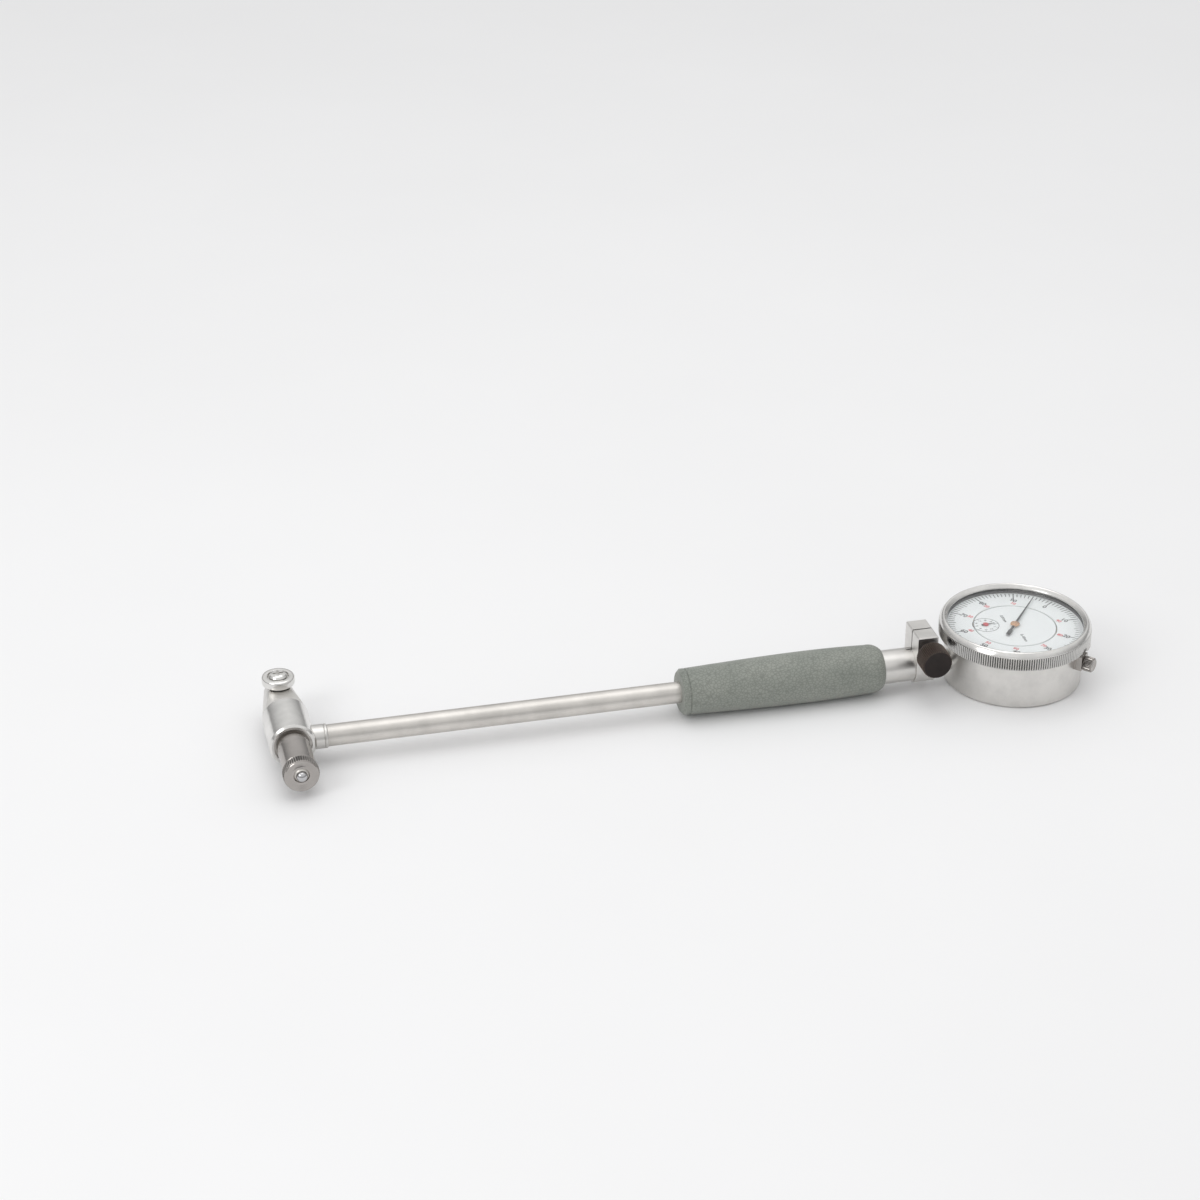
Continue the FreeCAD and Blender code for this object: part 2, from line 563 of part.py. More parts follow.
def clamp_block():
    """Split clamp block: rounded under the socket, square above it, with a slit down to the bore."""
    half = BLOCK_W / 2
    upper = box(BLOCK_X0, BLOCK_X1, -half, half, 0, BLOCK_TOP)
    block = upper.fuse(bar_x(BLOCK_W, BLOCK_X0, BLOCK_X1)).removeSplitter()
    block = block.cut(box(BLOCK_X0, BLOCK_X1, -half, half, -half, -SOCKET_D / 2))
    top_edges = [edge for edge in block.Edges if edge.BoundBox.ZMin > BLOCK_TOP - 0.01]
    block = block.makeChamfer(BLOCK_EDGE, top_edges)
    block = block.cut(bar_x(SPIGOT_D, BLOCK_X0, BLOCK_X1))
    block = block.cut(box(BLOCK_X0, BLOCK_X1, -SLIT / 2, SLIT / 2, 0, BLOCK_TOP))
    return block.cut(rod(CLAMP_SCREW_D + 2 * RUN, BLOCK_W, (clamp_x(), -half, CLAMP_SCREW_Z), (0, 1, 0)))


def clamp_x():
    return (BLOCK_X0 + BLOCK_X1) / 2


def clamp_screw():
    """Threaded shank of the clamp knob."""
    front = -BLOCK_W / 2 - RUN - KNOB_NECK_L - KNOB_L / 2
    length = BLOCK_W / 2 - 0.6 - front
    return rod(CLAMP_SCREW_D, length, (clamp_x(), front, CLAMP_SCREW_Z), (0, 1, 0))


def clamp_knob():
    """Knurled knob with a neck, on the front of the clamp block."""
    back = -BLOCK_W / 2 - RUN
    base, forward = (clamp_x(), back, CLAMP_SCREW_Z), (0, -1, 0)
    root, neck = KNOB_D / 2 - 0.4, KNOB_NECK_D / 2
    start, end = KNOB_NECK_L, KNOB_NECK_L + KNOB_L
    body = turned([(0, 0), (neck, 0), (neck, start), (root - KNOB_EDGE, start), (root, start + KNOB_EDGE),
                   (root, end - KNOB_EDGE), (root - KNOB_EDGE, end), (0, end)], base, forward)
    band = ribbed(KNOB_D, 0.4, KNOB_RIBS, KNOB_L - 2 * KNOB_EDGE, (clamp_x(), back - start - KNOB_EDGE, CLAMP_SCREW_Z),
                  forward)
    return body.fuse(band).cut(clamp_screw())


def push_rod():
    shank = bar_x(ROD_D, ROD_X0, ROD_X1 - ROD_PAD_L)
    return shank.fuse(bar_x(ROD_PAD_D, ROD_X1 - ROD_PAD_L, ROD_X1, 0.3))


def rod_bush(x0):
    return bar_x(TUBE_BORE, x0, x0 + BUSH_L).cut(bar_x(ROD_D + 2 * RUN, x0, x0 + BUSH_L))


# ---- indicator case -----------------------------------------------------------------------------------------------------
def cover_screw_places():
    return [polar(COVER_SCREW_PITCH_R, 45 + 360 * k / COVER_SCREWS) for k in range(COVER_SCREWS)]


def cover_screw(x, y):
    """Countersunk slotted screw, flush with the back cover."""
    head, shank, reach = COVER_HEAD_D / 2, COVER_SCREW_D / 2, BACK_T + COVER_SCREW_IN
    screw = turned([(0, 0.1), (head, 0.1), (shank, 0.1 + head - shank), (shank, reach), (0, reach)], (x, y, 0))
    return screw.cut(box(x - head, x + head, y - 0.25, y + 0.25, 0, 0.6))


def back_cover():
    radius = CASE_D / 2
    cover = turned([(0, 0), (radius - 0.8, 0), (radius, 0.8), (radius, BACK_T), (0, BACK_T)])
    for x, y in cover_screw_places():
        cover = cover.cut(turned([(0, 0), (COVER_HEAD_D / 2, 0), (COVER_HEAD_D / 2, 0.1),
                                  (COVER_SCREW_D / 2, 0.1 + (COVER_HEAD_D - COVER_SCREW_D) / 2),
                                  (COVER_SCREW_D / 2, BACK_T), (0, BACK_T)], (x, y, 0)))
    return cover


def case():
    """Round case: wall, bezel ledge, rim, seat for the upper plate and four screw bosses."""
    outer, inner = CASE_D / 2, CASE_D / 2 - CASE_WALL
    shelf = inner - 0.8
    profile = [(inner, BACK_T), (outer, BACK_T), (outer, LEDGE_TOP - LEDGE_T), (LEDGE_D / 2, LEDGE_TOP - LEDGE_T),
               (LEDGE_D / 2, LEDGE_TOP), (outer, LEDGE_TOP), (outer, RIM_TOP), (inner, RIM_TOP), (inner, PLATE_Z),
               (shelf, PLATE_Z), (shelf, PLATE_Z - 1.0), (inner, PLATE_Z - 1.8)]
    body = turned(profile)
    for x, y in cover_screw_places():
        boss = rod(COVER_BOSS_D, COVER_BOSS_L, (x, y, BACK_T), (0, 0, 1))
        body = body.fuse(boss.common(rod(2 * inner + CASE_WALL, COVER_BOSS_L, (0, 0, BACK_T), (0, 0, 1))))
        body = body.cut(rod(COVER_SCREW_D, COVER_SCREW_IN, (x, y, BACK_T), (0, 0, 1)))
    body = body.cut(rod(STEM_THREAD_D, outer, (-outer - STEM_SPOT, 0, AXIS_Z), (1, 0, 0)))
    body = body.cut(rod(STEM_D, outer, (-2 * outer + STEM_SPOT, 0, AXIS_Z), (1, 0, 0)))
    body = body.cut(rod(END_CAP_D, CASE_D / 2, (CASE_D / 4, 0, AXIS_Z), (1, 0, 0)))
    lock_x, lock_y = polar(1.0, LOCK_ANGLE)
    return body.cut(rod(LOCK_SCREW_D, CASE_D, (0, 0, AXIS_Z + LOCK_Z), (lock_x, lock_y, 0)))


def stem():
    inside = -CASE_D / 2 + CASE_WALL + 1.0
    seat = -CASE_D / 2 + STEM_SPOT
    outer = bar_x(STEM_D, STEM_X0, seat).fuse(bar_x(STEM_THREAD_D, seat, inside))
    return outer.cut(bar_x(SPINDLE_D + 2 * RUN, STEM_X0, inside))


def end_cap():
    """Blind bush that guides the inner end of the spindle."""
    x0, x1 = CASE_D / 2 - END_CAP_IN, CASE_D / 2 + END_CAP_OUT
    cap = turned([(0, 0), (END_CAP_D / 2, 0), (END_CAP_D / 2, x1 - x0 - 0.8), (END_CAP_D / 2 - 0.8, x1 - x0),
                  (0, x1 - x0)], (x0, 0, 0), (1, 0, 0))
    return cap.cut(bar_x(SPINDLE_D + 2 * RUN, x0, x1 - 1.0))


# ---- spindle ---------------------------------------------------------------------------------------------------------------
def spindle():
    """Spindle with a rack on its +Y side, in mesh with the rack pinion."""
    bar = bar_x(SPINDLE_D, STEM_X0 - SPINDLE_OUT, SPINDLE_END)
    tip, root = RACK_LINE + 0.9 * GEAR_MODULE, RACK_LINE - 1.2 * GEAR_MODULE
    first = -ARBOR_X - 0.75 * RACK_TEETH * PITCH
    last = first + RACK_TEETH * PITCH
    half = SPINDLE_D / 2
    bar = bar.cut(box(first - PITCH / 2, last - PITCH / 2, tip, half, -half, half))
    narrow = PITCH * (1 + BACKLASH) / 4 - 1.2 * GEAR_MODULE * math.tan(math.radians(20))
    wide = PITCH * (1 + BACKLASH) / 4 + 0.9 * GEAR_MODULE * math.tan(math.radians(20))
    for k in range(RACK_TEETH):
        middle = -ARBOR_X + (k - round(0.75 * RACK_TEETH)) * PITCH
        gap = [(middle - wide, tip + 0.01), (middle - narrow, root), (middle + narrow, root),
               (middle + wide, tip + 0.01)]
        bar = bar.cut(prism(gap, 2 * half, -half))
    pin = rod(GUIDE_PIN_D, half, (GUIDE_PIN_X, -half, 0), (0, 1, 0))
    return bar.cut(pin)


def guide_pin():
    half = SPINDLE_D / 2
    return rod(GUIDE_PIN_D, half + 4.6, (GUIDE_PIN_X, -half - 4.6, 0), (0, 1, 0))


def guide_bar():
    """Slotted bar that keeps the spindle from turning; it stands on the lower plate."""
    y1 = -SPINDLE_D / 2 - 1.0
    y0 = y1 - GUIDE_BAR_W
    x0, x1 = GUIDE_PIN_X - 4.0, GUIDE_PIN_X - 4.0 + GUIDE_BAR_L
    gap = GUIDE_PIN_D / 2 + RUN
    bar = box(x0, x1, y0, y1, LOWER_Z + PLATE_T - AXIS_Z, gap + 1.4)
    return bar.cut(box(x0 + 1.6, x1 - 1.6, y0, y1, -gap, gap))


def contact_point():
    """Screwed-in contact point with a ball tip."""
    x0 = STEM_X0 - SPINDLE_OUT
    point, ball = POINT_COLLAR_L + POINT_L, POINT_BALL_D / 2
    return turned([(0, 0), (POINT_COLLAR_D / 2 - 0.2, 0), (POINT_COLLAR_D / 2, 0.2),
                   (POINT_COLLAR_D / 2, POINT_COLLAR_L - 0.2), (POINT_COLLAR_D / 2 - 0.2, POINT_COLLAR_L),
                   (1.6, POINT_COLLAR_L), (ball, point - ball), (0.7 * ball, point - 0.3 * ball), (0, point)],
                  (x0, 0, 0), (-1, 0, 0))


def return_spring():
    """Light tension spring, from the guide pin to a post on the lower plate."""
    y = -SPINDLE_D / 2 - 1.0 - GUIDE_BAR_W - 1.4
    x0, x1 = -12.0, GUIDE_PIN_X - GUIDE_PIN_D / 2
    return coil(RETURN_WIRE, RETURN_D, RETURN_TURNS, x1 - x0, (x0, y, 0), (1, 0, 0))


# ---- movement ---------------------------------------------------------------------------------------------------------------
def pillar_places():
    return [polar(PILLAR_PITCH_R, angle) for angle in PILLAR_ANGLES]


def lower_plate():
    """Lower movement plate, with the post that anchors the return spring."""
    plate = rod(LOWER_PLATE_D, PLATE_T, (0, 0, LOWER_Z), (0, 0, 1))
    for x, y in pillar_places():
        plate = plate.cut(rod(PILLAR_D / 2, PLATE_T, (x, y, LOWER_Z), (0, 0, 1)))
    for side in (-1, 1):
        plate = plate.cut(rod(ARBOR_D * 0.6 + 2 * RUN, PLATE_T, (side * ARBOR_X, ARBOR_Y, LOWER_Z), (0, 0, 1)))
    post_y = -SPINDLE_D / 2 - 1.0 - GUIDE_BAR_W - 1.4
    post = rod(1.4, AXIS_Z + 1.6 - LOWER_Z, (-12.0 - 0.7 - RUN, post_y, LOWER_Z), (0, 0, 1))
    return plate.fuse(post)


def upper_plate():
    """Upper movement plate: it hangs on the case's shelf and carries the fixed inner dial."""
    boss_top = DIAL_Z - DIAL_T
    seat = CASE_D / 2 - CASE_WALL
    plate = turned([(0, PLATE_Z), (seat, PLATE_Z), (seat, PLATE_Z + PLATE_T), (DISC_D / 2 - 1.5, PLATE_Z + PLATE_T),
                    (DISC_D / 2 - 1.5, boss_top), (0, boss_top)])
    for x, y in pillar_places():
        plate = plate.cut(rod(PILLAR_D / 2, PLATE_T, (x, y, PLATE_Z), (0, 0, 1)))
    plate = plate.cut(rod(ARBOR_D + 2 * RUN, boss_top, (0, 0, PLATE_Z), (0, 0, 1)))
    plate = plate.cut(rod(ARBOR_D + 2 * RUN, boss_top, (-ARBOR_X, ARBOR_Y, PLATE_Z), (0, 0, 1)))
    plate = plate.cut(rod(ARBOR_D * 0.6 + 2 * RUN, PLATE_T, (ARBOR_X, ARBOR_Y, PLATE_Z), (0, 0, 1)))
    return plate


def pillar(x, y):
    spigot, shoulder = PILLAR_D / 4, PILLAR_D / 2
    low, high = LOWER_Z + PLATE_T, PLATE_Z
    return turned([(0, LOWER_Z), (spigot, LOWER_Z), (spigot, low), (shoulder, low), (shoulder, high),
                   (spigot, high), (spigot, high + PLATE_T), (0, high + PLATE_T)], (x, y, 0))


def centre_bridge():
    """Bridge over the spindle that carries the lower pivot of the centre arbor."""
    low, top = LOWER_Z + PLATE_T, AXIS_Z + SPINDLE_D / 2 + 1.4
    half_x = 2.4
    span = box(-half_x, half_x, -9.0, 7.5, top - 0.9, top)
    legs = box(-half_x, half_x, -9.0, -7.4, low, top).fuse(box(-half_x, half_x, 5.9, 7.5, low, top))
    return span.fuse(legs).removeSplitter().cut(rod(ARBOR_D * 0.6 + 2 * RUN, 0.9, (0, 0, top - 0.9), (0, 0, 1)))


CENTRE_PHASE = 0.0
LEFT_DIRECTION = math.atan2(ARBOR_Y, -ARBOR_X)
RIGHT_DIRECTION = math.atan2(ARBOR_Y, ARBOR_X)


def wheel(direction):
    """Hundred-tooth wheel with four crossings, on its arbor's centre."""
    phase = meshing_phase(CENTRE_PHASE, CENTRE_TEETH, WHEEL_TEETH, direction)
    disc = toothed(WHEEL_TEETH, WHEEL_T, phase)
    for k in range(4):
        x, y = polar(0.55 * WHEEL_R, 45 + 90 * k)
        disc = disc.cut(rod(0.52 * WHEEL_R, WHEEL_T, (x, y, 0), (0, 0, 1)))
    disc = disc.cut(rod(ARBOR_D, WHEEL_T, (0, 0, 0), (0, 0, 1)))
    distance = WHEEL_R + CENTRE_R
    disc.translate(V(distance * math.cos(direction), distance * math.sin(direction), WHEEL_Z))
    return disc


def counter_arbor():
    """Arbor with the rack pinion; the small pointer sits on its upper end."""
    pivot, arbor = ARBOR_D * 0.3, ARBOR_D / 2
    shoulder, top = LOWER_Z + PLATE_T + END_PLAY, DIAL_Z + 0.5
    seat = WHEEL_Z - 0.8
    bar = turned([(0, LOWER_Z + 0.2), (pivot, LOWER_Z + 0.2), (pivot, shoulder), (arbor, shoulder), (arbor, seat),
                  (1.4, seat), (1.4, WHEEL_Z), (arbor, WHEEL_Z), (arbor, top), (0, top)])
    pinion = toothed(RACK_PINION_TEETH, RACK_PINION_L, -math.pi / 2)
    pinion.translate(V(0, 0, AXIS_Z - RACK_PINION_L / 2))
    arbor_shape = bar.fuse(pinion)
    arbor_shape.translate(V(-ARBOR_X, ARBOR_Y, 0))
    return arbor_shape


def centre_arbor():
    """Arbor of the main pointer, with the ten-leaf pinion that both wheels mesh with."""
    pivot, arbor = ARBOR_D * 0.3, ARBOR_D / 2
    bridge = AXIS_Z + SPINDLE_D / 2 + 1.4
    bottom, top = bridge - 0.8, DIAL_Z + 1.0
    low = bridge + END_PLAY
    bar = turned([(0, bottom), (pivot, bottom), (pivot, low), (arbor, low), (arbor, top), (0, top)])
    pinion = toothed(CENTRE_TEETH, PLATE_Z - 2 * END_PLAY - low, CENTRE_PHASE)
    pinion.translate(V(0, 0, low))
    return bar.fuse(pinion)


def takeup_arbor():
    """Arbor of the wheel that the hairspring loads, to take up the play of the train."""
    pivot, arbor = ARBOR_D * 0.3, ARBOR_D / 2
    low, high = LOWER_Z + PLATE_T + END_PLAY, PLATE_Z - END_PLAY
    seat = WHEEL_Z - 0.8
    bar = turned([(0, LOWER_Z + 0.2), (pivot, LOWER_Z + 0.2), (pivot, low), (arbor, low), (arbor, seat),
                  (1.4, seat), (1.4, WHEEL_Z), (arbor, WHEEL_Z), (arbor, high), (pivot, high),
                  (pivot, high + 0.8), (0, high + 0.8)], (ARBOR_X, ARBOR_Y, 0))
    return bar


def hairspring():
    """Flat spiral spring on the take-up arbor, of half turns about two alternate centres."""
    step, width, high = 0.55, 0.12, 0.7
    z0 = WHEEL_Z + WHEEL_T + 0.2
    radius, centre = ARBOR_D / 2 + 0.9, 0.0
    spiral = None
    for k in range(5):
        side = 1 if k % 2 == 0 else -1
        turn = ring(2 * (radius + width), 2 * radius, high, (centre, 0, z0), (0, 0, 1))
        reach = 2 * radius
        half = turn.common(box(-reach, reach, min(0, side * reach), max(0, side * reach), z0, z0 + high))
        spiral = half if spiral is None else spiral.fuse(half)
        centre -= side * step / 2
        radius += step / 2
    return spiral.translated(V(ARBOR_X, ARBOR_Y, 0))


def pointer_shape(length, tail, width, thickness, hub_d, bore):
    """A tapered hand with a counterweight tail and a round hub, pointing along +X."""
    half = width / 2
    outline = [(length, 0.25 * half), (0, half), (-0.55 * tail, half), (-0.62 * tail, 1.7 * half), (-tail, 1.7 * half),
               (-tail, -1.7 * half), (-0.62 * tail, -1.7 * half), (-0.55 * tail, -half), (0, -half),
               (length, -0.25 * half)]
    hand = prism(outline, thickness)
    hub = rod(hub_d, thickness + 0.3, (0, 0, -0.15), (0, 0, 1))
    return hand.fuse(hub).cut(rod(bore, 2, (0, 0, -1), (0, 0, 1)))


def pointer():
    hand = pointer_shape(POINTER_L, POINTER_TAIL, 0.9, 0.2, 3.2, ARBOR_D)
    hand.rotate(V(0, 0, 0), V(0, 0, 1), POINTER_ANGLE)
    return hand.translated(V(0, 0, DIAL_Z + 0.75))


def small_pointer():
    hand = pointer_shape(SMALL_POINTER_L, 0.45 * SMALL_POINTER_L, 0.6, 0.12, 2.0, ARBOR_D)
    hand.rotate(V(0, 0, 0), V(0, 0, 1), SMALL_POINTER_ANGLE)
    return hand.translated(V(-ARBOR_X, ARBOR_Y, DIAL_Z + 0.3))


# ---- dial and bezel ---------------------------------------------------------------------------------------------------------
def dial_disc():
    disc = rod(DISC_D, DIAL_T, (0, 0, DIAL_Z - DIAL_T), (0, 0, 1))
    for x, y in ((0, 0), (-ARBOR_X, ARBOR_Y)):
        disc = disc.cut(rod(ARBOR_D + 0.6, DIAL_T, (x, y, DIAL_Z - DIAL_T), (0, 0, 1)))
    return disc


def dial_ring():
    return ring(BORE_D, DISC_D + 2 * DISC_GAP, DIAL_T, (0, 0, DIAL_Z - DIAL_T), (0, 0, 1))


def crystal_ring():
    return ring(BORE_D, BORE_D - 1.2, CRYSTAL_UP, (0, 0, DIAL_Z), (0, 0, 1))


def crystal():
    radius = BORE_D / 2
    return turned([(0, CRYSTAL_Z), (radius, CRYSTAL_Z), (radius, CRYSTAL_Z + CRYSTAL_T),
                   (radius - LIP_IN, CRYSTAL_Z + CRYSTAL_T), (0, CRYSTAL_Z + CRYSTAL_T)])


def bezel():
    """Turning bezel: ribbed band, bevelled bright rim, and a lip over the crystal."""
    outer, bore, crest = BEZEL_D / 2 - BEZEL_KNURL, BORE_D / 2, BEZEL_CREST_D / 2
    band_top = BEZEL_Z0 + BEZEL_BAND
    lip = CRYSTAL_Z + CRYSTAL_T
    body = turned([(bore, BEZEL_Z0), (outer, BEZEL_Z0), (outer, band_top), (outer + 0.25, band_top),
                   (outer + 0.05, band_top + 0.5), (crest + 0.15, BEZEL_TOP - 0.25), (crest - 0.15, BEZEL_TOP),
                   (crest - 0.5, BEZEL_TOP), (bore - LIP_IN, lip + 0.35), (bore - LIP_IN, lip), (bore, lip)])
    band = ribbed(BEZEL_D, BEZEL_KNURL, BEZEL_RIBS, BEZEL_BAND - 0.4, (0, 0, BEZEL_Z0 + 0.2), (0, 0, 1))
    band = band.cut(rod(2 * outer - 1.0, BEZEL_BAND, (0, 0, BEZEL_Z0), (0, 0, 1)))
    return body.fuse(band)


# ---- bezel lock ---------------------------------------------------------------------------------------------------------------
def lock_frame(shape):
    """Turns a shape drawn along +X at the case wall into the lock's place."""
    shape.rotate(V(0, 0, 0), V(0, 0, 1), LOCK_ANGLE)
    return shape


def lock_shoe():
    """Shoe between case and thumb screw; its top edge bears on the bezel."""
    x0 = CASE_D / 2 - 0.4
    x1 = CASE_D / 2 + LOCK_SHOE_L
    half = LOCK_SHOE_W / 2
    shoe = box(x0, x1, -half, half, LOCK_Z - half, BEZEL_Z0 - AXIS_Z - RUN)
    shoe = shoe.cut(rod(CASE_D, 40, (0, 0, -20), (0, 0, 1)))
    shoe = shoe.cut(rod(LEDGE_D, 40, (0, 0, LEDGE_TOP - LEDGE_T - AXIS_Z), (0, 0, 1)))
    return lock_frame(shoe.cut(rod(LOCK_SCREW_D + 2 * RUN, CASE_D, (0, 0, LOCK_Z), (1, 0, 0))))


def lock_screw():
    """Knurled thumb screw of the bezel lock."""
    x0 = CASE_D / 2 + LOCK_SHOE_L + RUN
    shank = rod(LOCK_SCREW_D - 2 * RUN, LOCK_SHOE_L + CASE_WALL, (x0 - LOCK_SHOE_L - CASE_WALL, 0, LOCK_Z), (1, 0, 0))
    head = rod(LOCK_KNOB_D - 0.5, LOCK_KNOB_L, (x0, 0, LOCK_Z), (1, 0, 0), 0.3)
    band = ribbed(LOCK_KNOB_D, 0.25, LOCK_RIBS, LOCK_KNOB_L - 0.8, (x0 + 0.4, 0, LOCK_Z), (1, 0, 0))
    return lock_frame(shank.fuse(head).fuse(band))


def build():
    save("head_shell", head_shell())
    save("head_core", head_core())
    save("nose_cone", nose_cone())
    save("contact_plunger", contact_plunger())
    save("contact_ball", contact_ball())
    save("contact_spring", contact_spring())
    save("bell_crank", bell_crank())
    save("crank_pin", crank_pin())
    for name, side in (("top", 1), ("bottom", -1)):
        save(f"roller_{name}", roller(side))
        save(f"roller_screw_{name}", roller_screw(side))
    save("anvil_nut", anvil_nut())
    save("anvil", anvil())
    save("anvil_ball", anvil_ball())
    save("tube", tube())
    save("tube_collar", tube_collar())
    save("grip", grip())
    save("socket_tube", socket_tube())
    save("clamp_block", clamp_block())
    save("clamp_screw", clamp_screw())
    save("clamp_knob", clamp_knob())
    save("push_rod", push_rod())
    save("rod_bush_head", rod_bush(HEAD_X + TUBE_COLLAR_L))
    save("rod_bush_grip", rod_bush(GRIP_X0 + BUSH_L))
    save("back_cover", back_cover(), 0)
    for k, (x, y) in enumerate(cover_screw_places()):
        save(f"cover_screw_{k + 1}", cover_screw(x, y), 0)
    save("case", case(), 0)
    save("stem", stem())
    save("end_cap", end_cap())
    save("spindle", spindle())
    save("guide_pin", guide_pin())
    save("guide_bar", guide_bar())
    save("contact_point", contact_point())
    save("return_spring", return_spring())
    save("lower_plate", lower_plate(), 0)
    save("upper_plate", upper_plate(), 0)
    for k, (x, y) in enumerate(pillar_places()):
        save(f"pillar_{k + 1}", pillar(x, y), 0)
    save("centre_bridge", centre_bridge(), 0)
    save("counter_arbor", counter_arbor(), 0)
    save("counter_wheel", wheel(LEFT_DIRECTION), 0)
    save("small_pointer", small_pointer(), 0)
    save("centre_arbor", centre_arbor(), 0)
    save("pointer", pointer(), 0)
    save("takeup_arbor", takeup_arbor(), 0)
    save("takeup_wheel", wheel(RIGHT_DIRECTION), 0)
    save("hairspring", hairspring(), 0)
    save("dial_disc", dial_disc(), 0)
    save("dial_ring", dial_ring(), 0)
    save("crystal_ring", crystal_ring(), 0)
    save("crystal", crystal(), 0)
    save("bezel", bezel(), 0)
    save("lock_shoe", lock_shoe())
    save("lock_screw", lock_screw())


build()
os.makedirs("parts", exist_ok=True)
for node, solid in NODES.items():
    solid.exportStep(f"parts/{node}.step")
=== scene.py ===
"""Looks of the dial bore gauge over its CAD: materials, dial print, fine knurls, camera and studio."""
import json
import math

import bmesh
import bpy
from mathutils import Matrix, Vector


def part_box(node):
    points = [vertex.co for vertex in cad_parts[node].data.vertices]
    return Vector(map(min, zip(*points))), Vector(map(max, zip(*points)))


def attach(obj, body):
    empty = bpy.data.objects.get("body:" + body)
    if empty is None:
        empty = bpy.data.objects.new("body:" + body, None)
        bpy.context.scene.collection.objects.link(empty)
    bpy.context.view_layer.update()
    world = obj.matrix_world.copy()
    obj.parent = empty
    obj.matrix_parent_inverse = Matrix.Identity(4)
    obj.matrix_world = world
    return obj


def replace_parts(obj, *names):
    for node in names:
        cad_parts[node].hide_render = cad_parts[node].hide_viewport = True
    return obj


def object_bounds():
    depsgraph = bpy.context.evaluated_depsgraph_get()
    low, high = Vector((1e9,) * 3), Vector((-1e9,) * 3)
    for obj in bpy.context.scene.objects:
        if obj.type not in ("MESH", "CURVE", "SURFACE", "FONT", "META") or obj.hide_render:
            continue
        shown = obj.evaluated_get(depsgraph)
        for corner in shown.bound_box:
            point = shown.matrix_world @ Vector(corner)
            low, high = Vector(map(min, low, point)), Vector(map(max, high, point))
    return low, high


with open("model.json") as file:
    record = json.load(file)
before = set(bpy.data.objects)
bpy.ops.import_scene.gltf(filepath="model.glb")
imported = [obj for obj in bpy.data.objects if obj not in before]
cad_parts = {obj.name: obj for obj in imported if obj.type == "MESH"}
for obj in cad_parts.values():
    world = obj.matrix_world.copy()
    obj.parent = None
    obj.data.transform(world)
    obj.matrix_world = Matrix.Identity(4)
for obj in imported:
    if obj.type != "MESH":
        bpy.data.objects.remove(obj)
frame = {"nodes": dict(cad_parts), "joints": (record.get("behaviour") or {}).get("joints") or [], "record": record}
NODES = frame["nodes"]
cad_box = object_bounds()

MM = 0.001


# ---- places taken from the frame ---------------------------------------------------------------------------
def corners(node):
    """Lowest and highest corner of a CAD node, in millimetres."""
    low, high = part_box(node)
    return Vector(low) / MM, Vector(high) / MM


BEZEL_LOW, BEZEL_HIGH = corners("bezel")
KNOB_LOW, KNOB_HIGH = corners("clamp_knob")
NUT_LOW, NUT_HIGH = corners("anvil_nut")
CRYSTAL_HIGH = corners("crystal")[1]
DISC_HIGH = corners("dial_disc")[1]
POINTER_LOW = corners("pointer")[0]
SMALL_LOW = corners("small_pointer")[0]
CASE_R = corners("back_cover")[1].x
COUNTER = sum(corners("counter_wheel"), Vector()) / 2
LOCK = next(joint for joint in frame["joints"] if joint["name"] == "lock_turn")
DIAL_Z = DISC_HIGH.z
DISC_R = DISC_HIGH.x

# ---- dial --------------------------------------------------------------------------------------------------
ZERO_ANGLE = 34.5            # direction of the dial's zero, degrees anticlockwise from +X
DIVISIONS = 100
NUMBERS = 10                 # numbers on the dial ring, and on the small dial
TICK_OUTER = 25.0
TICK_SHORT, TICK_MIDDLE, TICK_LONG = 2.4, 3.0, 3.8
TICK_WIDTH = 0.28
TICK_TEN_WIDER = 1.4         # how much wider every tenth tick is
NUMBER_R, RED_NUMBER_R = 19.9, 17.4
NUMBER_HIGH, RED_HIGH = 2.1, 1.6
EDGE_LINE_IN, EDGE_LINE_WIDTH = 0.25, 0.18
SUB_R = 4.9                  # ring round the small dial
SUB_RING_WIDTH = 0.2
SUB_TICK, SUB_TICK_WIDTH = 0.75, 0.14
SUB_NUMBER_R, SUB_HIGH = 3.5, 0.95
NOTE_HIGH = 1.25             # the two short lines of print on the fixed disc
DIVISION_NOTE_AT, RANGE_NOTE_AT = (-2.2, 6.0), (0, -9.5)
PRINT_T = 0.02               # thickness of the print
BOLD = 0.025                 # how far the letters' outlines are thickened, at a letter height of about 0.7

# ---- turned pieces, in millimetres -------------------------------------------------------------------------
RIB_SHAPE = (0.0, 0.5, 1.0, 0.5)
VALLEY_PAINTED_SHADE = 0.18           # painted shade between two ribs, as a share of the metal's own tone
CREST_HIGHLIGHT_POWER = 3.0            # how narrow the painted highlight along each rib's top is
BEZEL_RIBS = 196
KNOB_RIBS = 52
NUT_RIBS = 48
LOCK_RIBS = 32
KNOB_NECK_R, KNOB_NECK_L = 3.6, 3.0
NUT_FLANGE_L = 4.2
NUT_BORE_R, NUT_BORE_L, NUT_END_BORE_R = 5.04, 14.1, 2.84
LOCK_SHANK_R, LOCK_SHANK_L, LOCK_HEAD_R, LOCK_L = 0.96, 4.8, 2.8, 8.6
LOCK_SUNK = 1.76             # how far the lock screw's end lies inside the case's rim
ROLLER_BORE_R, ROLLER_R, ROLLER_T = 2.04, 6.05, 3.5
ROLLER_RECESS_R, ROLLER_WEB_T = 3.9, 2.3

# ---- surfaces ----------------------------------------------------------------------------------------------
GRAIN_DEPTH, CREASE_DEPTH = 0.02, 0.06
COLOUR_A, COLOUR_B, COLOUR_OUT = 6, 7, 2      # sockets of a Mix node that mixes colours
VECTOR_A, VECTOR_B, VECTOR_OUT = 4, 5, 1      # and of one that mixes vectors


# ---- shader helpers ----------------------------------------------------------------------------------------
def new_material(name):
    material = bpy.data.materials.new(name)
    material.use_nodes = True
    tree = material.node_tree
    return material, tree.nodes, tree.links, tree.nodes["Principled BSDF"]


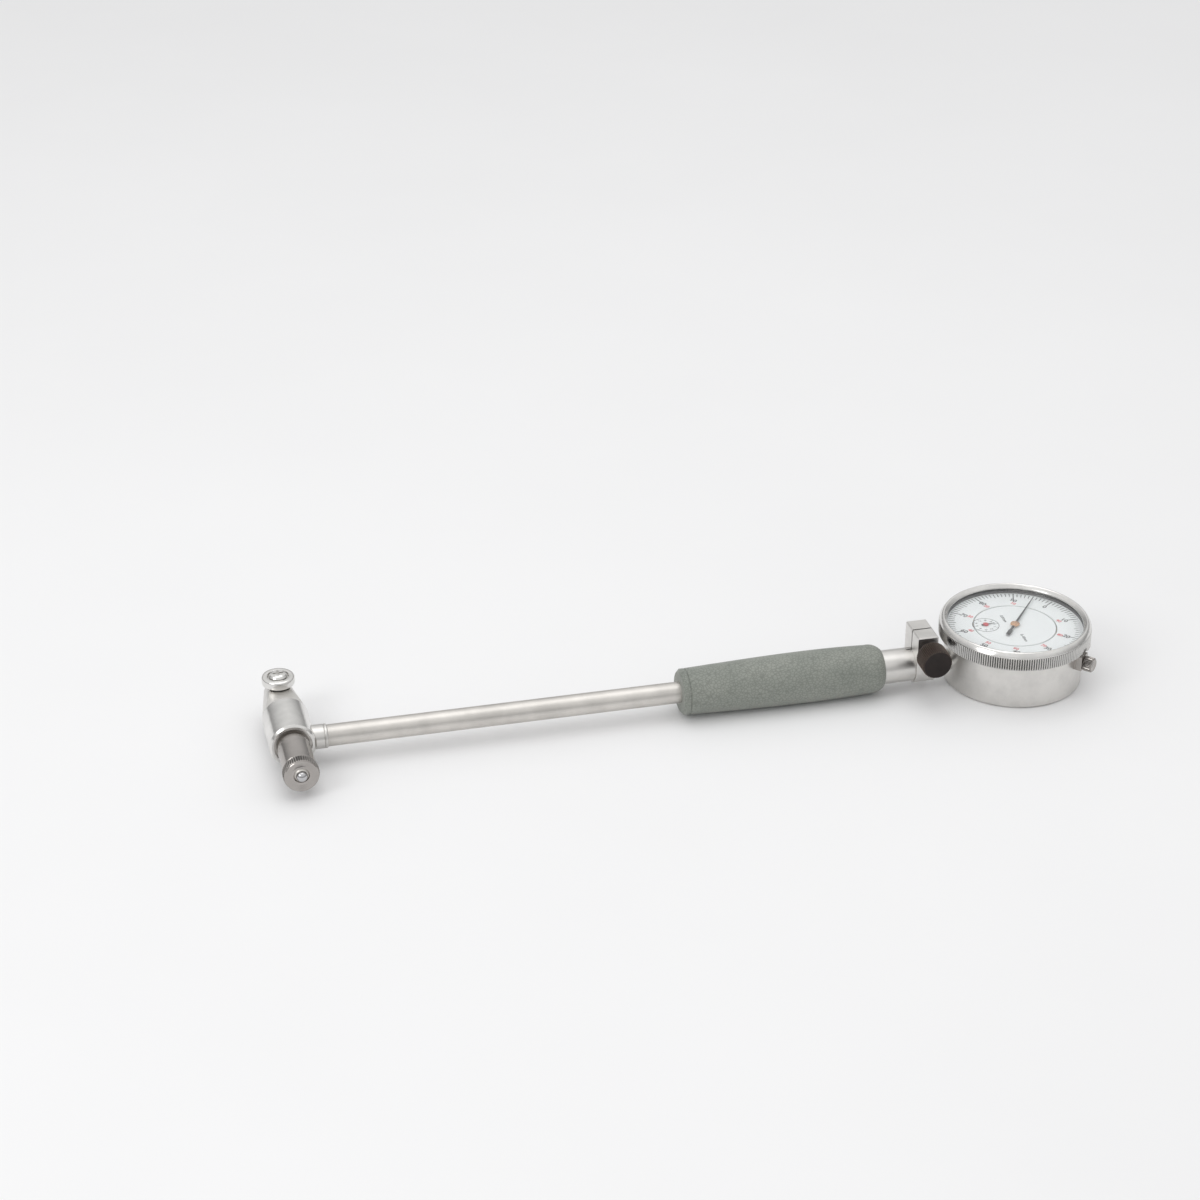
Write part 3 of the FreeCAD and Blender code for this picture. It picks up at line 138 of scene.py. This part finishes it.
def add(nodes, kind, **values):
    """Adds a shader node; each value goes to the input of that name, or to the node's own setting."""
    node = nodes.new(kind)
    for key, value in values.items():
        if key in node.inputs:
            node.inputs[key].default_value = value
        else:
            setattr(node, key, value)
    return node


def coordinates(nodes, links, scale):
    """Object coordinates in millimetres times scale."""
    source = add(nodes, "ShaderNodeTexCoord")
    mapping = add(nodes, "ShaderNodeMapping")
    mapping.inputs["Scale"].default_value = [s / MM for s in scale]
    links.new(source.outputs["Object"], mapping.inputs["Vector"])
    return mapping.outputs["Vector"]


def ramp(nodes, links, source, stops):
    """Colour ramp over a source, from (place, colour) stops."""
    node = add(nodes, "ShaderNodeValToRGB")
    elements = node.color_ramp.elements
    while len(elements) < len(stops):
        elements.new(0.5)
    for element, (place, colour) in zip(elements, stops):
        element.position = place
        element.color = (*colour, 1)
    links.new(source, node.inputs["Fac"])
    return node.outputs["Color"]


def noise(nodes, links, scale, detail=4.0):
    node = add(nodes, "ShaderNodeTexNoise", Detail=detail, Scale=1.0, Roughness=0.6)
    links.new(coordinates(nodes, links, scale), node.inputs["Vector"])
    return node.outputs["Fac"]


def grey(value):
    return (value, value, value)


def relief(nodes, links, shader, height, strength, distance, edge=0.0):
    """Bump of a height, in millimetres; edge rounds the look of sharp edges by that radius."""
    node = add(nodes, "ShaderNodeBump", Strength=strength, Distance=distance * MM)
    if edge:
        rounding = add(nodes, "ShaderNodeBevel", Radius=edge * MM, samples=4)
        links.new(rounding.outputs["Normal"], node.inputs["Normal"])
    links.new(height, node.inputs["Height"])
    links.new(node.outputs["Normal"], shader.inputs["Normal"])


def metal(name, colour, rough, brushed=False, bump=0.08, spread=0.05, edge=0.0):
    """Metal, mottled in tone and roughness, with painted shade in the valleys between ribs; brushed stretches its
    grain along X.
    """
    material, nodes, links, shader = new_material(name)
    shader.inputs["Metallic"].default_value = 1.0
    # painted shade: ribbed pieces carry a point attribute, 1 deep in the valleys between ribs, that darkens the
    # base colour there
    painted_valley_shade = add(nodes, "ShaderNodeAttribute", attribute_name="painted_valley_shade")
    grain = noise(nodes, links, (0.05, 7, 7) if brushed else (2.2, 2.2, 2.2), 5.0)
    cloud = noise(nodes, links, (0.11, 0.11, 0.11))
    low = tuple(c * 0.88 for c in colour)
    shade = add(nodes, "ShaderNodeMix", data_type="RGBA")
    links.new(painted_valley_shade.outputs["Fac"], shade.inputs["Factor"])
    links.new(ramp(nodes, links, cloud, [(0.35, low), (0.62, colour)]), shade.inputs[COLOUR_A])
    shade.inputs[COLOUR_B].default_value = (*(c * VALLEY_PAINTED_SHADE for c in colour), 1)
    links.new(shade.outputs[COLOUR_OUT], shader.inputs["Base Color"])
    tones = ramp(nodes, links, grain, [(0.3, grey(max(rough - spread, 0.02))), (0.7, grey(rough + spread))])
    links.new(tones, shader.inputs["Roughness"])
    relief(nodes, links, shader, grain, bump, GRAIN_DEPTH, edge)
    return material


def paint(name, colour, rough, pale=1.25, scale=1.5, bump=0.06, crest_highlight_tone=None, specular=0.5):
    """Paint or enamel with a faint unevenness; the optional tone for the ribs is a painted highlight along their
    tops, broken up by grain.
    """
    material, nodes, links, shader = new_material(name)
    shader.inputs["Specular IOR Level"].default_value = specular
    cloud = noise(nodes, links, (scale * 0.1, scale * 0.1, scale * 0.1))
    grain = noise(nodes, links, (scale, scale, scale))
    high = tuple(min(c * pale, 1.0) for c in colour)
    tint = ramp(nodes, links, cloud, [(0.35, colour), (0.7, high)])
    # painted highlight: a narrow pale line along the top of each rib, broken up by the grain noise
    if crest_highlight_tone:
        painted_crest_highlight = add(nodes, "ShaderNodeAttribute", attribute_name="painted_crest_highlight")
        sharp = add(nodes, "ShaderNodeMath", operation="POWER")
        sharp.inputs[1].default_value = CREST_HIGHLIGHT_POWER
        links.new(painted_crest_highlight.outputs["Fac"], sharp.inputs[0])
        painted_highlight = add(nodes, "ShaderNodeMath", operation="MULTIPLY")
        links.new(sharp.outputs["Value"], painted_highlight.inputs[0])
        links.new(ramp(nodes, links, grain, [(0.35, grey(0.25)), (0.6, grey(1.0))]), painted_highlight.inputs[1])
        shade = add(nodes, "ShaderNodeMix", data_type="RGBA")
        links.new(painted_highlight.outputs["Value"], shade.inputs["Factor"])
        links.new(tint, shade.inputs[COLOUR_A])
        shade.inputs[COLOUR_B].default_value = (*crest_highlight_tone, 1)
        tint = shade.outputs[COLOUR_OUT]
    links.new(tint, shader.inputs["Base Color"])
    tones = ramp(nodes, links, grain, [(0.3, grey(rough - 0.05)), (0.7, grey(rough + 0.05))])
    links.new(tones, shader.inputs["Roughness"])
    relief(nodes, links, shader, grain, bump, GRAIN_DEPTH)
    return material


def leather():
    """Grained leather-like cover of the grip: pebbled cells with darker creases and a soft sheen."""
    material, nodes, links, shader = new_material("grip_cover")
    cells = add(nodes, "ShaderNodeTexVoronoi", feature="DISTANCE_TO_EDGE", Scale=1.0)
    warp = add(nodes, "ShaderNodeTexNoise", Scale=0.9, Detail=3.0)
    place = coordinates(nodes, links, (1.1, 1.5, 1.5))
    links.new(place, warp.inputs["Vector"])
    mix = add(nodes, "ShaderNodeMix", data_type="VECTOR")
    mix.inputs["Factor"].default_value = 0.3
    links.new(place, mix.inputs[VECTOR_A])
    links.new(warp.outputs["Color"], mix.inputs[VECTOR_B])
    links.new(mix.outputs[VECTOR_OUT], cells.inputs["Vector"])
    crease = ramp(nodes, links, cells.outputs["Distance"], [(0.0, grey(0.0)), (0.16, grey(1.0))])
    tint = ramp(nodes, links, noise(nodes, links, (0.06, 0.1, 0.1)),
                [(0.3, (0.235, 0.255, 0.225)), (0.7, (0.30, 0.315, 0.28))])
    shade = add(nodes, "ShaderNodeMix", data_type="RGBA", blend_type="MULTIPLY")
    shade.inputs["Factor"].default_value = 0.3
    links.new(tint, shade.inputs[COLOUR_A])
    links.new(crease, shade.inputs[COLOUR_B])
    links.new(shade.outputs[COLOUR_OUT], shader.inputs["Base Color"])
    tones = ramp(nodes, links, noise(nodes, links, (1.3, 1.3, 1.3)), [(0.3, grey(0.48)), (0.7, grey(0.66))])
    links.new(tones, shader.inputs["Roughness"])
    relief(nodes, links, shader, crease, 0.4, CREASE_DEPTH)
    shader.inputs["Sheen Weight"].default_value = 0.15
    return material


def clear():
    """Clear crystal that lets the lamps through."""
    material, nodes, links, shader = new_material("crystal_clear")
    shader.inputs["Base Color"].default_value = (0.97, 0.985, 0.98, 1)
    shader.inputs["Transmission Weight"].default_value = 1.0
    shader.inputs["IOR"].default_value = 1.46
    tones = ramp(nodes, links, noise(nodes, links, (0.3, 0.3, 0.3)), [(0.3, grey(0.0)), (0.75, grey(0.025))])
    links.new(tones, shader.inputs["Roughness"])
    path = add(nodes, "ShaderNodeLightPath")
    passing = add(nodes, "ShaderNodeBsdfTransparent")
    mix = add(nodes, "ShaderNodeMixShader")
    links.new(path.outputs["Is Shadow Ray"], mix.inputs["Fac"])
    links.new(shader.outputs["BSDF"], mix.inputs[1])
    links.new(passing.outputs["BSDF"], mix.inputs[2])
    links.new(mix.outputs["Shader"], nodes["Material Output"].inputs["Surface"])
    return material


MATERIALS = {
    "satin_chrome": metal("satin_chrome", (0.74, 0.725, 0.70), 0.34, bump=0.12, edge=0.2),
    "bright_chrome": metal("bright_chrome", (0.80, 0.79, 0.77), 0.2, bump=0.04, spread=0.04, edge=0.12),
    "dark_chrome": metal("dark_chrome", (0.44, 0.415, 0.395), 0.2, bump=0.05, spread=0.04),
    "ground_steel": metal("ground_steel", (0.70, 0.675, 0.64), 0.42, brushed=True, bump=0.1),
    "hard_metal": metal("hard_metal", (0.55, 0.55, 0.56), 0.14, bump=0.03, spread=0.03),
    "spring_steel": metal("spring_steel", (0.30, 0.30, 0.33), 0.3),
    "brass": metal("brass", (0.76, 0.56, 0.27), 0.28),
    "copper": metal("copper", (0.70, 0.42, 0.26), 0.24),
    # the knob's ribs get a pale brown painted highlight along their tops
    "knob_black": paint("knob_black", (0.012, 0.008, 0.007), 0.42, pale=1.8, scale=2.0, bump=0.12,
                        crest_highlight_tone=(0.22, 0.165, 0.13), specular=0.25),
    "dial_white": paint("dial_white", (0.80, 0.81, 0.82), 0.42, pale=1.03),
    "black_paint": paint("black_paint", (0.018, 0.018, 0.020), 0.4, pale=1.6),
    "ink_red": paint("ink_red", (0.55, 0.05, 0.06), 0.45),
    "ink_grey": paint("ink_grey", (0.30, 0.31, 0.32), 0.45),
    "grip_cover": leather(),
    "crystal_clear": clear(),
}
OTHER_LOOKS = {"roller_screw_top": "bright_chrome", "roller_screw_bottom": "bright_chrome"}
for entry in frame["record"]["subparts"]:
    materials = NODES[entry["node"]].data.materials
    materials.clear()
    materials.append(MATERIALS[OTHER_LOOKS.get(entry["node"], entry["material_slot"])])


# ---- mesh helpers ------------------------------------------------------------------------------------------
def piece(name, vertices, faces, body, slot, look=None, smooth=32, depths=None):
    """Makes a mesh object from points in millimetres, and sets its material, from look or else slot, and its body.

    depths says how deep between two ribs each point lies, from 0 to 1, or None off the ribs."""
    mesh = bpy.data.meshes.new(name)
    mesh.from_pydata([Vector(point) * MM for point in vertices], [], faces)
    solid = bmesh.new()
    solid.from_mesh(mesh)
    bmesh.ops.recalc_face_normals(solid, faces=solid.faces)
    solid.to_mesh(mesh)
    solid.free()
    mesh.shade_smooth()
    mesh.set_sharp_from_angle(angle=math.radians(smooth))
    mesh.materials.append(MATERIALS[look or slot])
    if depths:
        # the rib depths lay painted shade in the valleys between ribs, and a painted highlight along the tops of
        # the ribs
        tones = {"painted_valley_shade": [depth or 0.0 for depth in depths],
                 "painted_crest_highlight": [0.0 if depth is None else 1 - depth for depth in depths]}
        for key, values in tones.items():
            mesh.attributes.new(key, "FLOAT", "POINT").data.foreach_set("value", values)
    item = bpy.data.objects.new(name, mesh)
    bpy.context.scene.collection.objects.link(item)
    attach(item, body)
    return item


def revolved(profile, base, axis, segments=96, ribs=0):
    """Revolves (radius, distance along, rib depth) rows; a profile that starts off the axis is closed."""
    if ribs:
        segments = ribs * len(RIB_SHAPE)
    turn = Vector((0, 0, 1)).rotation_difference(Vector(axis)).to_matrix()
    vertices, rows = [], []
    for radius, along, depth in profile:
        row = []
        for k in range(segments if radius else 1):
            angle = 2 * math.pi * k / segments
            reach = radius - depth * RIB_SHAPE[k % len(RIB_SHAPE)]
            spot = Vector((reach * math.cos(angle), reach * math.sin(angle), along))
            row.append(len(vertices))
            vertices.append(Vector(base) + turn @ spot)
        rows.append(row)
    if profile[0][0]:
        rows.append(rows[0])
    faces = []
    for low, high in zip(rows, rows[1:]):
        for k in range(segments):
            after = (k + 1) % segments
            if len(low) == 1:
                faces.append((low[0], high[k], high[after]))
            elif len(high) == 1:
                faces.append((low[k], low[after], high[0]))
            else:
                faces.append((low[k], low[after], high[after], high[k]))
    return vertices, faces


def knurled(name, node, profile, base, axis, slot, ribs):
    """Revolves a ribbed profile into a piece that stands for a CAD node and rides on its body."""
    vertices, faces = revolved(profile, base, axis, ribs=ribs)
    depths = []
    for radius, _, depth in profile:
        for k in range(ribs * len(RIB_SHAPE) if radius else 1):
            depths.append(RIB_SHAPE[k % len(RIB_SHAPE)] if depth else None)
    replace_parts(piece(name, vertices, faces, node, slot, depths=depths), node)


def plain(profile):
    """A profile with no ribs."""
    return [(radius, along, 0) for radius, along in profile]


class Print:
    """Collects flat print on the dial, as thin slabs."""

    def __init__(self):
        self.vertices, self.faces = [], []

    def slab(self, outline):
        """Thin slab over an outline."""
        start, count = len(self.vertices), len(outline)
        for z in (DIAL_Z, DIAL_Z + PRINT_T):
            self.vertices += [(x, y, z) for x, y in outline]
        self.faces.append(tuple(range(start, start + count)))
        self.faces.append(tuple(range(start + count, start + 2 * count)))
        for k in range(count):
            after = (k + 1) % count
            self.faces.append((start + k, start + after, start + count + after, start + count + k))

    def tick(self, inner, outer, width, degrees, centre=(0, 0)):
        """Short radial line."""
        angle = math.radians(degrees)
        across = Vector((-math.sin(angle), math.cos(angle))) * width / 2
        along = Vector((math.cos(angle), math.sin(angle)))
        middle = Vector(centre)
        self.slab([middle + along * inner - across, middle + along * outer - across,
                   middle + along * outer + across, middle + along * inner + across])

    def circle(self, radius, width, centre=(0, 0), segments=144):
        """Thin ring."""
        profile = [(radius, 0, 0), (radius + width, 0, 0), (radius + width, PRINT_T, 0), (radius, PRINT_T, 0)]
        vertices, faces = revolved(profile, (*centre, DIAL_Z), (0, 0, 1), segments)
        start = len(self.vertices)
        self.vertices += vertices
        self.faces += [tuple(start + k for k in face) for face in faces]

    def text(self, words, high, centre, up_degrees):
        """Words centred on a place, with their tops towards up_degrees."""
        curve = bpy.data.curves.new("glyphs", "FONT")
        curve.body = words
        curve.extrude = 0.01
        curve.offset = BOLD
        curve.resolution_u = 4
        item = bpy.data.objects.new("glyphs", curve)
        bpy.context.scene.collection.objects.link(item)
        mesh = bpy.data.meshes.new_from_object(item.evaluated_get(bpy.context.evaluated_depsgraph_get()))
        xs = [v.co.x for v in mesh.vertices]
        ys = [v.co.y for v in mesh.vertices]
        scale = high / (max(ys) - min(ys))
        middle = Vector(((max(xs) + min(xs)) / 2, (max(ys) + min(ys)) / 2))
        angle = math.radians(up_degrees)
        up, right = Vector((math.cos(angle), math.sin(angle))), Vector((math.sin(angle), -math.cos(angle)))
        start = len(self.vertices)
        for vertex in mesh.vertices:
            x, y = (vertex.co.xy - middle) * scale
            flat = Vector(centre) + right * x + up * y
            self.vertices.append((flat.x, flat.y, DIAL_Z + (PRINT_T if vertex.co.z > 0 else 0)))
        self.faces += [tuple(start + k for k in face.vertices) for face in mesh.polygons]
        bpy.data.objects.remove(item)
        bpy.data.curves.remove(curve)
        bpy.data.meshes.remove(mesh)

    def make(self, name, body, look):
        piece(name, self.vertices, self.faces, body, "black_paint", look)


def polar(radius, degrees, centre=(0, 0)):
    """Point at a radius and a direction round a centre."""
    angle = math.radians(degrees)
    return (centre[0] + radius * math.cos(angle), centre[1] + radius * math.sin(angle))


# ---- bezel, knob, nut, lock screw and rollers --------------------------------------------------------------
def bezel():
    out, bore = BEZEL_HIGH.x, CRYSTAL_HIGH.x
    lip = CRYSTAL_HIGH.z - BEZEL_LOW.z
    profile = [(bore, 0, 0), (out - 0.8, 0, 0), (out - 0.5, 0.08, 0), (out - 0.42, 0.25, 0),
               (out - 0.05, 0.5, 0.4), (out, 0.7, 0.45), (out, 4.75, 0.45), (out - 0.05, 4.95, 0.4),
               (out - 0.42, 5.12, 0), (out - 0.42, 5.25, 0), (out - 0.2, 5.32, 0), (out - 0.14, 5.45, 0),
               (out - 0.3, 5.75, 0), (out - 0.55, 6.2, 0), (out - 0.9, 6.72, 0), (out - 1.25, 7.1, 0),
               (out - 1.5, 7.26, 0), (out - 1.7, 7.3, 0), (out - 1.95, 7.24, 0), (out - 2.15, 7.06, 0),
               (bore - 0.62, lip + 0.48, 0), (bore - 0.7, lip + 0.35, 0), (bore - 0.7, lip, 0),
               (bore, lip, 0)]
    knurled("bezel_knurled", "bezel", profile, (0, 0, BEZEL_LOW.z), (0, 0, 1), "bright_chrome", BEZEL_RIBS)


def knob():
    out, length = (KNOB_HIGH.x - KNOB_LOW.x) / 2, KNOB_HIGH.y - KNOB_LOW.y
    profile = [(0, 0, 0), (KNOB_NECK_R - 0.1, 0, 0), (KNOB_NECK_R, 0.1, 0), (KNOB_NECK_R, 2.85, 0),
               (KNOB_NECK_R + 0.2, KNOB_NECK_L, 0), (out - 0.7, KNOB_NECK_L, 0), (out - 0.42, 3.12, 0),
               (out - 0.05, 3.5, 0.36), (out, 3.7, 0.4), (out, length - 0.75, 0.4),
               (out - 0.08, length - 0.4, 0.34), (out - 0.3, length - 0.12, 0.12), (out - 0.45, length, 0.02),
               (out - 0.62, length, 0), (out - 0.8, length - 0.05, 0), (0, length - 0.05, 0)]
    base = ((KNOB_LOW.x + KNOB_HIGH.x) / 2, KNOB_HIGH.y, (KNOB_LOW.z + KNOB_HIGH.z) / 2)
    knurled("knob_knurled", "clamp_knob", profile, base, (0, -1, 0), "knob_black", KNOB_RIBS)


def anvil_nut():
    out, length = (NUT_HIGH.x - NUT_LOW.x) / 2, NUT_HIGH.y - NUT_LOW.y
    barrel = out - 0.45
    foot = length - NUT_FLANGE_L
    profile = [(NUT_BORE_R, 0, 0), (barrel - 0.2, 0, 0), (barrel, 0.2, 0), (barrel, foot - 0.5, 0),
               (barrel - 0.15, foot - 0.35, 0), (barrel - 0.15, foot - 0.15, 0), (barrel + 0.05, foot, 0),
               (out - 0.06, foot + 0.35, 0.25), (out, foot + 0.55, 0.35), (out, length - 1.1, 0.35),
               (out - 0.06, length - 0.9, 0.3), (out - 0.34, length - 0.7, 0), (out - 0.34, length - 0.25, 0),
               (out - 0.55, length - 0.03, 0), (out - 0.75, length, 0), (out - 0.95, length - 0.05, 0),
               (3.7, length - 0.55, 0), (3.5, length - 0.6, 0), (NUT_END_BORE_R, length - 0.6, 0),
               (NUT_END_BORE_R, NUT_BORE_L, 0), (NUT_BORE_R, NUT_BORE_L, 0)]
    base = ((NUT_LOW.x + NUT_HIGH.x) / 2, NUT_HIGH.y, (NUT_LOW.z + NUT_HIGH.z) / 2)
    knurled("anvil_nut_knurled", "anvil_nut", profile, base, (0, -1, 0), "dark_chrome", NUT_RIBS)


def lock_screw():
    profile = [(0, 0, 0), (LOCK_SHANK_R, 0, 0), (LOCK_SHANK_R, LOCK_SHANK_L, 0), (2.3, LOCK_SHANK_L, 0),
               (2.5, 4.95, 0), (2.76, 5.2, 0.2), (LOCK_HEAD_R, 5.35, 0.25), (LOCK_HEAD_R, 8.05, 0.25),
               (2.76, 8.2, 0.2), (2.5, 8.45, 0), (2.3, LOCK_L, 0), (1.9, LOCK_L, 0), (1.7, 8.5, 0),
               (0, 8.48, 0)]
    heading = Vector(LOCK["axis"])
    base = Vector(LOCK["pos_m"]) / MM + heading * (CASE_R - LOCK_SUNK)
    knurled("lock_screw_knurled", "lock_screw", profile, base, heading, "dark_chrome", LOCK_RIBS)


def rollers():
    profile = plain([(ROLLER_BORE_R, 0), (5.0, 0), (5.45, 0.07), (5.8, 0.3), (6.0, 0.66), (ROLLER_R, 1.05),
                     (ROLLER_R, 2.45), (6.0, 2.84), (5.8, 3.2), (5.45, 3.43), (5.0, ROLLER_T),
                     (4.15, ROLLER_T), (3.98, 3.43), (ROLLER_RECESS_R, 3.25), (ROLLER_RECESS_R, 2.45),
                     (3.75, ROLLER_WEB_T), (ROLLER_BORE_R, ROLLER_WEB_T)])
    for name, side in (("roller_top", 1), ("roller_bottom", -1)):
        low, high = corners(name)
        near = low.z if side > 0 else high.z
        base = ((low.x + high.x) / 2, (low.y + high.y) / 2, near)
        vertices, faces = revolved(profile, base, (0, 0, side), 128)
        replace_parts(piece(name + "_rounded", vertices, faces, name, "bright_chrome", smooth=40), name)


# ---- dial print and hubs -----------------------------------------------------------------------------------
def ring_print():
    """Ticks and numbers of the dial ring, which turns with the bezel."""
    black, red = Print(), Print()
    for k in range(DIVISIONS):
        ten, five = k % 10 == 0, k % 5 == 0
        long = TICK_LONG if ten else TICK_MIDDLE if five else TICK_SHORT
        width = TICK_WIDTH * (TICK_TEN_WIDER if ten else 1)
        black.tick(TICK_OUTER - long, TICK_OUTER, width, ZERO_ANGLE - 360 / DIVISIONS * k)
    for k in range(NUMBERS):
        angle = ZERO_ANGLE - 360 / NUMBERS * k
        black.text(str(10 * k), NUMBER_HIGH, polar(NUMBER_R, angle), ZERO_ANGLE)
        if k:
            red.text(str(100 - 10 * k), RED_HIGH, polar(RED_NUMBER_R, angle), ZERO_ANGLE)
    black.make("ring_print", "bezel", "black_paint")
    red.make("ring_print_red", "bezel", "ink_red")


def disc_print():
    """Edge line, small dial and short lines of print on the fixed disc."""
    edge, lines = Print(), Print()
    edge.circle(DISC_R - EDGE_LINE_IN, EDGE_LINE_WIDTH)
    edge.make("disc_edge_line", "gauge", "ink_grey")
    centre = (COUNTER.x, COUNTER.y)
    lines.circle(SUB_R, SUB_RING_WIDTH, centre, 72)
    for k in range(NUMBERS):
        angle = -360 / NUMBERS * k
        lines.tick(SUB_R - SUB_TICK, SUB_R, SUB_TICK_WIDTH, angle, centre)
        lines.text(str(k), SUB_HIGH, polar(SUB_NUMBER_R, angle, centre), 0)
    lines.text("0.01mm", NOTE_HIGH, DIVISION_NOTE_AT, 0)
    lines.text("0-10mm", NOTE_HIGH, RANGE_NOTE_AT, 0)
    lines.make("disc_print", "gauge", "black_paint")


def hubs():
    """Caps over the middles of the two pointers."""
    profile = plain([(0, 0), (1.6, 0), (1.75, 0.08), (1.75, 0.42), (1.6, 0.56), (1.0, 0.62), (0.85, 0.76),
                     (0.6, 0.8), (0, 0.8)])
    vertices, faces = revolved(profile, (0, 0, POINTER_LOW.z), (0, 0, 1), 64)
    piece("pointer_hub", vertices, faces, "main_pointer", "brass", "copper")
    profile = plain([(0, 0), (1.0, 0), (1.1, 0.06), (1.1, 0.3), (0.95, 0.42), (0.4, 0.46), (0, 0.46)])
    vertices, faces = revolved(profile, (COUNTER.x, COUNTER.y, SMALL_LOW.z), (0, 0, 1), 48)
    piece("counter_hub", vertices, faces, "counter_train", "black_paint", "ink_red")


bezel()
knob()
anvil_nut()
lock_screw()
rollers()
ring_print()
disc_print()
hubs()

# ---- camera ------------------------------------------------------------------------------------------------
CAMERA_AT = Vector((-371.29, -854.08, 533.88)) * MM
YAW, PITCH, ROLL = math.radians(-13.86), math.radians(28.70), math.radians(0.195)
LENS, SENSOR = 84.0, 36.0


def camera():
    """Camera from its yaw, pitch and roll."""
    data = bpy.data.cameras.new("camera")
    data.lens, data.sensor_width = LENS, SENSOR
    data.clip_start, data.clip_end = 0.05, 20.0
    item = bpy.data.objects.new("camera", data)
    forward = Vector((-math.sin(YAW) * math.cos(PITCH), math.cos(YAW) * math.cos(PITCH), -math.sin(PITCH)))
    right = forward.cross(Vector((0, 0, 1))).normalized()
    up = right.cross(forward)
    across = right * math.cos(ROLL) + up * math.sin(ROLL)
    upward = up * math.cos(ROLL) - right * math.sin(ROLL)
    turn = Matrix((across, upward, -forward)).transposed().to_4x4()
    item.matrix_world = Matrix.Translation(CAMERA_AT) @ turn
    bpy.context.scene.collection.objects.link(item)
    bpy.context.scene.camera = item


camera()


# ---- studio, in metres -------------------------------------------------------------------------------------
FLOOR_HALF = 4.0
SKY_STRENGTH = 0.85
LAMP_AIM = (-0.12, 0, 0)


def floor():
    """Large pale floor that keeps the object's shadow."""
    material, nodes, links, shader = new_material("floor")
    tones = ramp(nodes, links, noise(nodes, links, (0.004, 0.004, 0.004)),
                 [(0.3, (0.875, 0.875, 0.88)), (0.7, (0.895, 0.895, 0.9))])
    links.new(tones, shader.inputs["Base Color"])
    shader.inputs["Roughness"].default_value = 0.75
    half, level = FLOOR_HALF, cad_box[0][2]
    mesh = bpy.data.meshes.new("floor")
    mesh.from_pydata([(-half, -half, level), (half, -half, level), (half, half, level), (-half, half, level)],
                     [], [(0, 1, 2, 3)])
    mesh.materials.append(material)
    item = bpy.data.objects.new("floor", mesh)
    bpy.context.scene.collection.objects.link(item)


def lamp(name, place, size, power):
    """Square soft lamp that looks at the middle of the object."""
    data = bpy.data.lights.new(name, "AREA")
    data.shape, data.size, data.energy = "SQUARE", size, power
    item = bpy.data.objects.new(name, data)
    direction = Vector(LAMP_AIM) - Vector(place)
    item.matrix_world = Matrix.Translation(place) @ direction.to_track_quat("-Z", "Y").to_matrix().to_4x4()
    bpy.context.scene.collection.objects.link(item)


def sky():
    """Soft room: bright above, dimmer towards the horizon."""
    world = bpy.data.worlds.new("world")
    world.use_nodes = True
    nodes, links = world.node_tree.nodes, world.node_tree.links
    place = add(nodes, "ShaderNodeTexCoord")
    split = add(nodes, "ShaderNodeSeparateXYZ")
    links.new(place.outputs["Generated"], split.inputs["Vector"])
    tones = ramp(nodes, links, split.outputs["Z"], [(0.0, grey(0.26)), (0.25, grey(0.62)), (0.55, grey(1.0))])
    links.new(tones, nodes["Background"].inputs["Color"])
    nodes["Background"].inputs["Strength"].default_value = SKY_STRENGTH
    bpy.context.scene.world = world


floor()
sky()
lamp("overhead", (-0.15, 0.1, 1.1), 0.9, 2.4)
lamp("side", (-1.1, -0.5, 0.8), 0.5, 2.6)
bpy.context.scene.view_settings.view_transform = "Standard"
